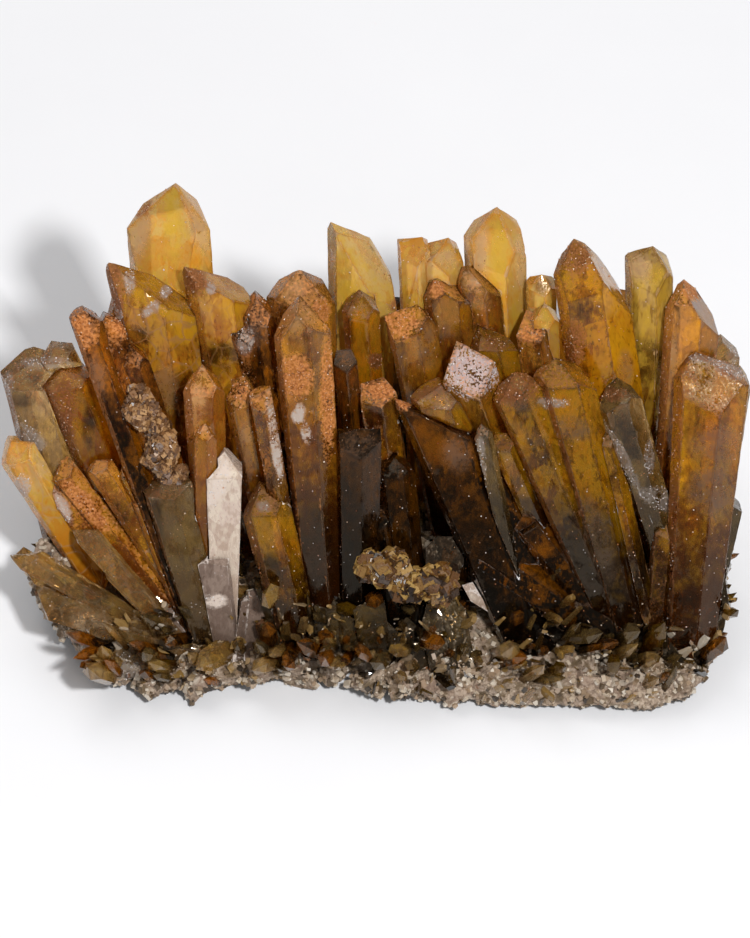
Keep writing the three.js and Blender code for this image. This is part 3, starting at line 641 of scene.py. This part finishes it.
dress("olive_face", "olive", [
    ("haze", 172, 486, 24, 7, 0), ("smoke_and_shade", 157, 520, 8, 40, 0), ("painted_glow", 182, 535, 10, 14, 0)], foot=1.6, lift=1.0)
dress("dark_centre", "smoky", [
    ("haze", 360, 446, 20, 20, 0), ("smoke_and_shade", 350, 560, 24, 90, 0)], lift=0.65, dust=0.2)

# %% [markdown]
# ### The left fan

# %% Left fan
dress("left_blades", "smoky", [
    ("coat", 87, 335, 10, 22, 0), ("painted_glow", 104, 340, 5, 22, 0), ("coat", 120, 326, 18, 8, 45),
    ("haze", 98, 380, 12, 24, 0), ("smoke_and_shade", 118, 430, 14, 40, -15)],
      tip=(176, 112, 62), lift=1.15, foot=1.3)
dress("orange_block", "amber", [
    ("coat", 66, 410, 14, 36, 0), ("painted_glow", 60, 374, 12, 10, 0), ("smoke_and_shade", 92, 430, 8, 30, 0)], foot=1.3)
dress("far_left_block", "pale", [
    ("pale", 46, 364, 32, 7, 0), ("smoke_and_shade", 40, 380, 14, 9, 0), ("painted_glow", 66, 382, 12, 18, 0),
    ("pale", 11, 385, 6, 16, 0), ("smoke_and_shade", 26, 402, 16, 8, 0), ("pale", 30, 438, 20, 12, 40)], lift=1.1)
dress("yellow_edge", "yellow", [("pale", 20, 490, 10, 20, 30)], foot=1.3, cracks=0.5)
dress("left_prisms", "coated", [
    ("coat", 87, 505, 34, 10, 48), ("painted_glow", 122, 482, 16, 12, 0), ("pale", 58, 503, 26, 9, 55),
    ("painted_glow", 150, 560, 40, 10, 62), ("smoke_and_shade", 122, 515, 12, 20, -30)], lift=1.1, foot=1.4)
dress("left_fan", "olive", [
    ("pale", 66, 552, 22, 14, 30), ("smoke_and_shade", 98, 585, 16, 22, 0), ("pale", 120, 668, 50, 16, 28),
    ("smoke_and_shade", 60, 615, 12, 16, 0), ("haze", 95, 630, 30, 16, 40)],
      lift=1.25, foot=1.5, dust=0.1, cracks=0.35, depth=0.9, gloss=0.9)

# %% [markdown]
# ### The lower centre and the right edge

# %% Lower centre and right edge
GREY = dict(root=(84, 68, 58), low=(120, 100, 88), body=(150, 126, 114), tip=(164, 140, 128), painted_glow=(172, 150, 136))
dress("front_splinters", "olive", [
    ("smoke_and_shade", 290, 620, 30, 26, 0), ("pale", 300, 665, 50, 8, 0), ("pale", 210, 602, 18, 10, 0),
    ("smoke_and_shade", 400, 630, 40, 22, 0), ("haze", 365, 655, 40, 10, 0)],
      lift=0.75, foot=1.2, dust=0.05, cracks=0.5, depth=0.9, gloss=0.9)
dress("button_crystal", "smoky", lift=0.6, dust=0.0, gloss=1.0)
dress("dark_plates", "smoky", [("painted_glow", 540, 550, 14, 7, 10)], dust=0.1)
dress("white_blade", "cleavage")
dress("grey_matte", "cleavage", [("pale", 215, 600, 14, 8, 0)], **GREY)
dress("right_blocks", "olive", [("smoke_and_shade", 700, 560, 34, 14, 0), ("pale", 735, 575, 8, 20, 0)], lift=0.8, dust=0.1)
dress("right_slivers", "amber", [("smoke_and_shade", 640, 550, 14, 50, 0), ("painted_glow", 668, 530, 10, 24, 0)], foot=0.6)
dress("far_right_pale", "pale", [("pale", 735, 355, 14, 12, 30)], lift=1.1)

# %% [markdown]
# ### The middle row

# %% Middle row
GOLD = dict(body=(255, 170, 44), tip=(255, 190, 92), painted_glow=(255, 192, 40))
dress("cracked_block", "amber", [
    ("coat", 116, 298, 11, 34, 0), ("painted_glow", 150, 290, 18, 16, 0), ("painted_glow", 175, 325, 26, 24, 0),
    ("pale", 133, 284, 6, 14, 0), ("pale", 153, 312, 14, 5, -40), ("pale", 168, 293, 5, 10, 20),
    ("smoke_and_shade", 140, 338, 16, 12, 0), ("haze", 168, 388, 12, 30, 0), ("smoke_and_shade", 180, 400, 12, 30, 0)],
      cracks=0.8, see=0.62, dust=0.3, **GOLD)
dress("orange_triangle", "amber", [
    ("coat", 196, 284, 13, 15, 0), ("pale", 213, 291, 5, 6, 0), ("painted_glow", 235, 308, 20, 16, 0),
    ("smoke_and_shade", 225, 360, 30, 20, 0)], cracks=0.4, see=0.62, dust=0.3, foot=1.3, **GOLD)
dress("dark_rhomb", "smoky", [("haze", 248, 335, 15, 24, 0), ("pale", 246, 340, 10, 16, 0)], foot=2.4, lift=1.1)
# The pale patch on this top face is a painted reflection of the light.
dress("lilac_top", "coated", [("pale", 468, 371, 30, 28, 0)], white=(246, 238, 246), flake=5.0, foot=0.8)
dress("red_top", "coated", [("coat", 377, 393, 22, 11, 0), ("smoke_and_shade", 372, 420, 18, 14, 0)], tip=(196, 132, 80))
dress("round_back", "amber", [("haze", 438, 398, 26, 12, 10), ("coat", 406, 396, 10, 8, 0)], haze=(150, 118, 100))
dress("small_amber", "amber", foot=0.6)
dress("grey_block", "coated")
dress("small_grey", "smoky", [("haze", 349, 356, 12, 9, 0)], dust=0.15)
dress("sandy_pair", "coated", [
    ("coat", 400, 326, 19, 17, 0), ("coat", 434, 290, 10, 10, 0), ("haze", 424, 345, 14, 26, -10),
    ("painted_glow", 455, 318, 16, 18, 0), ("pale", 468, 301, 6, 6, 0)], haze=(150, 120, 92))
dress("coated_block", "coated", [("coat", 528, 336, 14, 10, 0)])
dress("brown_block", "amber", [("painted_glow", 512, 354, 12, 10, 0), ("coat", 492, 346, 12, 8, 0)], foot=0.8)
dress("big_right", "amber", [
    ("coat", 572, 262, 16, 16, 0), ("painted_glow", 603, 302, 13, 30, 0), ("painted_glow", 600, 362, 14, 16, 0),
    ("coat", 571, 348, 11, 26, 0), ("haze", 622, 372, 9, 20, 0), ("smoke_and_shade", 580, 310, 9, 16, 0)],
      see=0.64, foot=0.6)
dress("right_coated", "coated", [
    ("coat", 685, 291, 15, 13, 0), ("painted_glow", 700, 332, 15, 36, 0), ("haze", 664, 385, 7, 50, 8)])
dress("dark_point", "amber", [
    ("painted_glow", 362, 320, 12, 22, 0), ("smoke_and_shade", 348, 330, 6, 14, 0), ("coat", 378, 362, 10, 8, 0)], root=(40, 22, 12))

# %% [markdown]
# ### The back row

# %% Back row
dress("back_tall_left", "yellow", [
    ("haze", 138, 238, 14, 40, 15), ("painted_glow", 176, 228, 11, 40, 0), ("haze", 198, 225, 10, 40, -15),
    ("coat", 145, 212, 12, 6, -40)], lift=1.12)
dress("back_hazy", "coated", [("coat", 322, 312, 9, 13, 0), ("haze", 292, 292, 16, 14, 0)], lift=1.15)
dress("back_blade", "yellow", [("painted_glow", 346, 282, 20, 34, 0), ("haze", 374, 262, 44, 9, 52), ("coat", 396, 307, 8, 6, 0)],
      body=(255, 208, 106), tip=(255, 222, 156), see=0.48)
dress("back_pair", "yellow", [("haze", 440, 262, 18, 14, 0), ("painted_glow", 404, 280, 8, 20, 0)])
dress("back_brown", "coated", [("haze", 474, 290, 12, 24, -30)])
dress("back_tall_right", "yellow", [
    ("painted_glow", 498, 262, 11, 45, 0), ("haze", 478, 262, 8, 44, 5), ("haze", 519, 262, 7, 36, 0)],
      lift=1.1)
dress("back_small_pair", "yellow", [("smoke_and_shade", 539, 288, 9, 9, 0), ("painted_glow", 546, 312, 8, 14, 0)])
dress("back_right", "yellow", [
    ("haze", 634, 268, 12, 16, 0), ("painted_glow", 656, 290, 10, 24, 0), ("smoke_and_shade", 640, 362, 24, 26, 0)],
      foot=0.55)
dress("rear_left", "amber")
dress("rear_middle", "smoky", dust=0.2)
dress("rear_right", "coated")
print("dressed crystals:", triangles_made, "triangles")

# %% [markdown]
# ## The matrix
#
# The rock underneath is a pale, granular mass, cream to pinkish grey, darker brown in its hollows. Its solid
# is split finely and moved along its normals by a rough noise, so that its lumps lose their flat faces. The
# finish mixes cream, grey and rust by noise of several sizes.

# %% Matrix
LUMP_STEP = 1.5 * MM
LUMP_ROUGHNESS = 0.42 * MM


def rock_finish():
    """Cream and pinkish grey, brown in the hollows, with rust spots."""
    finish, tree, shader, _, place = new_finish("granular_rock")
    patches = cloudy(tree, place, 5.0, 5.0)
    grains = cloudy(tree, place, 0.7, 5.0, 0.75)
    # Darker brown where the grain noise, which is also the bump, is low, and cream where it is high.
    stops = [(0.3, tone(66, 50, 38)), (0.42, tone(136, 116, 98)), (0.55, tone(188, 166, 144)),
             (0.72, tone(226, 210, 190))]
    colour = steps(tree, grains, stops)
    colour = laid_over(tree, spread(tree, patches, 0.42, 0.62, 0.0, 0.55), colour, tone(150, 122, 104))
    glassy = cloudy(tree, place, 4.2, 4.0, 0.6, 0.5)
    colour = laid_over(tree, spread(tree, glassy, 0.52, 0.6, 0.0, 0.8), colour, tone(104, 84, 54))
    colour = laid_over(tree, spread(tree, glassy, 0.42, 0.36, 0.0, 0.6), colour, tone(232, 218, 198))
    rust = cloudy(tree, place, 3.4, 3.0)
    colour = laid_over(tree, spread(tree, rust, 0.64, 0.72, 0.0, 0.75), colour, tone(166, 92, 40))
    tree.links.new(colour, shader.inputs["Base Color"])
    shader.inputs["Roughness"].default_value = 0.75
    bump = add(tree, "Bump", {"Height": grains, "Strength": 0.9, "Distance": 0.35 * MM})
    tree.links.new(bump.outputs[0], shader.inputs["Normal"])
    return finish


def roughen(bm, depth):
    """Moves every corner along its normal by rough noise, but keeps what stands on the floor."""
    bm.normal_update()
    for v in bm.verts:
        spot = v.co / MM
        rough = 1.5 * noise.noise(spot * 0.35) + 0.8 * noise.noise(spot * 1.1) + 0.4 * noise.noise(spot * 2.9)
        v.co += v.normal * rough * depth
        v.co.z = max(v.co.z, 0.0)


rock = merged_copy("matrix")
split_long_edges(rock, LUMP_STEP)
bmesh.ops.smooth_vert(rock, verts=rock.verts, factor=0.4, use_axis_x=True, use_axis_y=True, use_axis_z=True)
roughen(rock, LUMP_ROUGHNESS)
matrix_piece = hand_over("matrix_rock", rock, rock_finish(), ["matrix"])
print("matrix:", len(matrix_piece.data.polygons), "faces")

# %% [markdown]
# ## Grains and splinters
#
# Between the crystals and all over the matrix lie hundreds of grains and small splinters, some cream, some
# smoky, some olive and clear. Each is a small solid of its own made by one operator, turned and stretched by
# seeded chance, and all of one kind are joined in one piece. A number kept at their corners picks the tone.

# %% Grains and splinters
def tinted_finish(name, stops, see, rough, place_size=0.4):
    """A finish whose tone is picked by the number kept with each grain."""
    finish, tree, shader, _, place = new_finish(name)
    mottle = cloudy(tree, place, place_size, 3.0)
    pick = sums(tree, "ADD", stored(tree, "tint"), signed(tree, mottle, 0.25))
    tree.links.new(steps(tree, pick, stops), shader.inputs["Base Color"])
    shader.inputs["Transmission Weight"].default_value = see
    shader.inputs["IOR"].default_value = CRYSTAL_IOR
    tree.links.new(spread(tree, mottle, 0.3, 0.7, rough - 0.08, rough + 0.1), shader.inputs["Roughness"])
    return finish


def spots_on(meshes, count, chance, wanted):
    """Places on some meshes with their normals, more where the wanted weight is larger."""
    triangles, weights = [], []
    for mesh in meshes:
        mesh.calc_loop_triangles()
        triangles += [(mesh, t) for t in mesh.loop_triangles]
        weights += [t.area * wanted(t, mesh) for t in mesh.loop_triangles]
    spots = []
    for mesh, t in chance.choices(triangles, weights, k=count):
        a, b = sorted((chance.random(), chance.random()))
        corners = [mesh.vertices[i].co for i in t.vertices]
        spots.append((corners[0] * a + corners[1] * (b - a) + corners[2] * (1 - b), t.normal.copy()))
    return spots


def turned(direction, chance):
    """A rotation that puts Z along a direction, with a chance twist."""
    twist = Matrix.Rotation(chance.uniform(0, math.tau), 4, "Z")
    return direction.to_track_quat("Z", "Y").to_matrix().to_4x4() @ twist


def grain(bm, layer, spot, size, tint, chance):
    """One blocky grain, half sunk in what carries it."""
    direction = Vector([chance.uniform(-1, 1) for _ in range(3)]).normalized()
    stretch = Matrix.Diagonal((size, size * chance.uniform(0.6, 1.0), size * chance.uniform(0.7, 1.3), 1.0))
    made = bmesh.ops.create_cube(bm, size=1.0, matrix=Matrix.Translation(spot) @ turned(direction, chance) @ stretch)
    for v in made["verts"]:
        v[layer] = tint


def splinter(bm, layer, root, direction, length, width, tint, chance):
    """One splinter: a tapered prism, flattened, with a slanting end."""
    shape = Matrix.Diagonal((width, width * chance.uniform(0.35, 0.8), length, 1.0))
    lift = Matrix.Translation((0.0, 0.0, 0.42))
    place = Matrix.Translation(root) @ turned(direction, chance) @ shape @ lift
    made = bmesh.ops.create_cone(bm, cap_ends=True, segments=chance.choice((4, 5, 6)), radius1=0.5,
                                 radius2=chance.uniform(0.16, 0.4), depth=1.0, matrix=place)
    top = sorted(made["verts"], key=lambda v: (v.co - root).dot(direction))[-2:]
    for v in top:
        v.co += direction * length * 0.12
    for v in made["verts"]:
        v[layer] = tint


BATCH = 60


def tinted_mesh():
    """An empty mesh whose corners keep a tint."""
    bm = bmesh.new()
    return bm, bm.verts.layers.float.new("tint")


def gathered(places, make):
    """One mesh of a small solid at each place, made in batches, since an operator slows down in a large mesh."""
    whole, _ = tinted_mesh()
    for start in range(0, len(places), BATCH):
        bm, layer = tinted_mesh()
        for place in places[start:start + BATCH]:
            make(bm, layer, place)
        part = bpy.data.meshes.new("batch")
        bm.to_mesh(part)
        bm.free()
        whole.from_mesh(part)
        bpy.data.meshes.remove(part)
    return whole


ROCK_TINTS = [(0.0, tone(44, 32, 20)), (0.22, tone(120, 96, 66)), (0.45, tone(186, 156, 126)),
              (0.75, tone(220, 200, 174)), (1.0, tone(246, 234, 216))]


SHARDS = ("left_fan", "front_splinters", "dark_plates", "right_blocks")


def on_open_rock(t, mesh):
    """Weight of a triangle of the rock: its outside, above the floor."""
    middle = t.center / MM
    low = eased(middle.z, 0.1, 1.0)
    return low * (0.35 + 0.65 * eased(t.normal.dot(TO_VIEWER), -0.2, 0.4))


def at_the_bottom(t, mesh):
    """Weight of a triangle of the splinters: its lowest part, where rock clings to it."""
    return eased(-t.center.z / MM, -6.5, -1.5) * noise_patch(t.center)


def noise_patch(point):
    """Nought or one in patches of a few millimetres, so that crumbs lie in heaps."""
    return eased(noise.noise(point / MM * 0.3), -0.1, 0.25)


def crumb(bm, layer, place):
    """One grain of the rock."""
    grain(bm, layer, place[0], crumb_chance.triangular(0.15, 1.0, 0.22) * MM, crumb_chance.random(), crumb_chance)


crumb_chance = random.Random(11)
crumb_spots = spots_on([matrix_piece.data], 8000, crumb_chance, on_open_rock)
crumb_spots += spots_on([dressed[name].data for name in SHARDS], 3500, crumb_chance, at_the_bottom)
crumbs = gathered(crumb_spots, crumb)
hand_over("rock_crumbs", crumbs, tinted_finish("crumbs", ROCK_TINTS, 0.25, 0.5))
print("crumbs done:", triangles_made, "triangles so far")

# %% [markdown]
# The splinters grow out of the rock along its front and sides, and fan away from the middle as the crystals
# do. Some are smoky, some olive or amber and some almost white.

# %% Splinters round the foot
FAN_MIDDLE = Vector((0.0, 14.0, 0.0)) * MM
SPLINTER_TINTS = [(0.0, tone(22, 15, 9)), (0.25, tone(84, 60, 32)), (0.5, tone(160, 124, 64)),
                  (0.7, tone(204, 164, 100)), (0.85, tone(220, 190, 150)), (1.0, tone(244, 230, 210))]
BOX_LOW, BOX_HIGH = CAD_BOX
BOX_ROOM = -0.4 * MM


def fan_direction(root, rise, chance):
    """Away from the middle and up, with some chance."""
    away = root - FAN_MIDDLE
    away.z = 0.0
    away.normalize()
    jitter = Vector([chance.gauss(0, 0.2) for _ in range(3)])
    return (away * 0.75 + Vector((0, 0, rise)) + jitter).normalized()


def inside_box(point):
    """Whether a point stays inside the box of the model, with a little room."""
    return all(low - BOX_ROOM <= value <= high + BOX_ROOM
               for value, low, high in zip(point, BOX_LOW, BOX_HIGH)) and point.z > 0


def low_and_open(t, mesh):
    """Weight of a triangle near the foot: more where it faces up or the viewer."""
    middle = t.center / MM
    height = eased(middle.z, 0.6, 3.0) * eased(-middle.z, -13.0, -7.0)
    return height * (0.15 + eased(t.normal.z, 0.0, 0.8) + 0.8 * eased(t.normal.dot(TO_VIEWER), 0.1, 0.8))


LOW_CARRIERS = ["front_splinters", "left_fan", "dark_plates", "right_blocks", "grey_matte", "amber_low",
                "left_prisms", "olive_face", "dark_centre", "broad_dark", "broad_pair", "right_broad",
                "right_slivers", "big_long"]
low_meshes = [matrix_piece.data] + [dressed[name].data for name in LOW_CARRIERS]


def grow_splinters(name, count, lengths, widths, tints, finish, seed):
    """One piece of many splinters that lie along what carries them."""
    chance = random.Random(seed)

    def one(bm, layer, place):
        root, normal = place
        direction = fan_direction(root, chance.uniform(0.5, 1.6), chance)
        direction = (direction - normal * direction.dot(normal) * 0.8 + normal * 0.12).normalized()
        length = chance.triangular(lengths[0], lengths[1], lengths[0]) * MM
        if inside_box(root + direction * length):
            splinter(bm, layer, root, direction, length, length * chance.uniform(*widths),
                     chance.uniform(*tints), chance)

    bm = gathered(spots_on(low_meshes, count, chance, low_and_open), one)
    piece = hand_over(name, bm, finish)
    print(name, len(piece.data.polygons), "faces")


grow_splinters("smoky_splinters", 110, (2.0, 6.0), (0.25, 0.5), (0.05, 0.45),
               tinted_finish("smoky_splinter", SPLINTER_TINTS, 0.8, 0.06), 21)
grow_splinters("olive_splinters", 160, (1.6, 5.0), (0.3, 0.6), (0.4, 0.85),
               tinted_finish("olive_splinter", SPLINTER_TINTS, 0.85, 0.06), 22)
grow_splinters("pale_splinters", 750, (0.6, 2.6), (0.5, 1.0), (0.55, 1.0),
               tinted_finish("pale_splinter", SPLINTER_TINTS, 0.5, 0.12), 23)

# %% [markdown]
# Between the large crystals and the rock stands a third generation: short, well-formed crystals of 3 to
# 9 mm, each a six-sided prism with a slanting point. A cone with its end face poked up makes one; the
# finish is the same as on the large ones, with the rise kept for each crystal by itself.

# %% Small crystals at the foot
def small_crystal(bm, root, direction, length, width, chance):
    """A six-sided prism with a slanting point, its rise kept at its corners."""
    shape = Matrix.Diagonal((width, width * chance.uniform(0.55, 0.9), length, 1.0))
    place = Matrix.Translation(root) @ turned(direction, chance) @ shape @ Matrix.Translation((0.0, 0.0, 0.4))
    made = bmesh.ops.create_cone(bm, cap_ends=True, segments=6, radius1=0.46, radius2=chance.uniform(0.36, 0.48),
                                 depth=0.8, matrix=place)["verts"]
    ring = sorted(made, key=lambda v: (v.co - root).dot(direction))[-6:]
    cap = next(f for f in ring[0].link_faces if set(f.verts) <= set(ring))
    point = bmesh.ops.poke(bm, faces=[cap])["verts"][0]
    side = (point.co - ring[0].co) * chance.uniform(-0.5, 0.5)
    point.co += direction * length * chance.uniform(0.2, 0.4) + side
    rise = bm.verts.layers.float["rise"]
    facet = bm.faces.layers.float["facet"]
    for v in made + [point]:
        v[rise] = max(0.0, (v.co - root).dot(direction) / length) * 0.9 + 0.05
        for face in v.link_faces:
            face[facet] = chance.random()


FOOT_GROUPS = [
    ("foot_olive", "olive", 110, 51, 0.85),
    ("foot_smoky", "smoky", 130, 52, 1.2),
    ("foot_amber", "amber", 36, 53, 0.55),
    ("foot_pale", "pale", 130, 54, 1.15),
]
foot_meshes = [matrix_piece.data] + [dressed[name].data for name in ("left_fan", "front_splinters", "dark_plates")]


def on_rim(t, mesh):
    """Weight of a triangle of the rock: the upper front and side rim."""
    middle = t.center / MM
    return eased(middle.z, 1.5, 3.5) * eased(-middle.z, -13.0, -8.0) * eased(t.normal.dot(TO_VIEWER), 0.2, 0.8)


def foot_crystals(name, kind, count, seed, lift):
    """A group of short crystals round the foot of the cluster."""
    chance = random.Random(seed)
    bm = bmesh.new()
    bm.verts.layers.float.new("rise")
    bm.faces.layers.float.new("facet")
    for root, _ in spots_on(foot_meshes, count, chance, on_rim):
        direction = fan_direction(root, chance.uniform(0.5, 1.7), chance)
        length = chance.triangular(3.0, 11.0, 4.5) * MM
        if inside_box(root + direction * length):
            small_crystal(bm, root - direction * 0.8 * MM, direction, length, length * chance.uniform(0.24, 0.5), chance)
    look = dict(KINDS[kind], dust=0.0, gloss=1.0)
    look.update({tone_name: lifted(look[tone_name], lift) for tone_name in TONES})
    piece = hand_over(name, bm, crystal_finish(name, look))
    print(name, len(piece.data.polygons), "faces")


for group in FOOT_GROUPS:
    foot_crystals(*group)

# %% [markdown]
# ## Druses
#
# Two crusts of coarse grains sit on the crystals: one like brown sugar on the left blades and one of small
# amber crystals on the dark ones in the middle. The solids give their run; grains of several sizes cover it.

# %% Druses
SUGAR_TINTS = [(0.0, tone(70, 42, 22)), (0.5, tone(142, 98, 58)), (1.0, tone(206, 160, 108))]
DRUSE_TINTS = [(0.0, tone(40, 24, 12)), (0.5, tone(130, 84, 34)), (1.0, tone(220, 176, 96))]


def crust(node, count, sizes, tints, see, seed):
    """A druse: the run of its solid, covered in grains."""
    chance = random.Random(seed)

    def one(bm, layer, place):
        grain(bm, layer, place[0], chance.uniform(*sizes) * MM, chance.random(), chance)

    bm = gathered(spots_on([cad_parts[node].data], count, chance, lambda t, mesh: 1.0), one)
    hand_over(node + "_grains", bm, tinted_finish(node, tints, see, 0.3), [node])


crust("sandy_druse", 2600, (0.35, 1.0), SUGAR_TINTS, 0.15, 31)
crust("orange_druse", 1200, (0.6, 1.8), DRUSE_TINTS, 0.4, 32)
print("druses done:", triangles_made, "triangles so far")

# %% [markdown]
# ## A dusting, with white grains as painted glints
#
# The rusty coats are not paint but thousands of grains a tenth to a quarter of a millimetre across, and some
# of them catch the light. Beside them, white grains are sown on the pale patches as painted glints. The mesh
# of each crystal already says where its coat and its pale patches lie, so the grains are sown there, and more
# thinly over the rest.

# %% Dusting
DUST_TINTS = [(0.0, tone(120, 58, 24)), (0.45, tone(196, 118, 64)), (0.8, tone(232, 176, 130)),
              (1.0, tone(255, 236, 214))]
PAINTED_GLINT_TINTS = [(0.0, tone(196, 172, 160)), (0.5, tone(240, 230, 226)), (1.0, tone(255, 252, 250))]
THIN_DUST = 0.03
THIN_PAINTED_GLINTS = 0.012


def sow(name, channel, thin, count, tints, seed):
    """One piece of fine grains, thick where the crystals keep this patch and thin over the rest."""
    chance = random.Random(seed)

    def weight(t, mesh):
        kept = mesh.attributes[channel].data
        return thin + eased(sum(kept[i].value for i in t.vertices) / 3, 0.25, 0.8)

    def speck(bm, layer, place):
        grain(bm, layer, place[0], chance.triangular(0.05, 0.2, 0.07) * MM, chance.random(), chance)

    spots = spots_on([piece.data for piece in dressed.values()], count, chance, weight)
    hand_over(name, gathered(spots, speck), tinted_finish(name, tints, 0.2, 0.3))


sow("sandy_dusting", "coat", THIN_DUST, 13000, DUST_TINTS, 41)
# White grains where the pale patches lie, as painted glints.
sow("painted_glint_grains", "pale", THIN_PAINTED_GLINTS, 4500, PAINTED_GLINT_TINTS, 42)
print("dusting done:", triangles_made, "triangles so far")
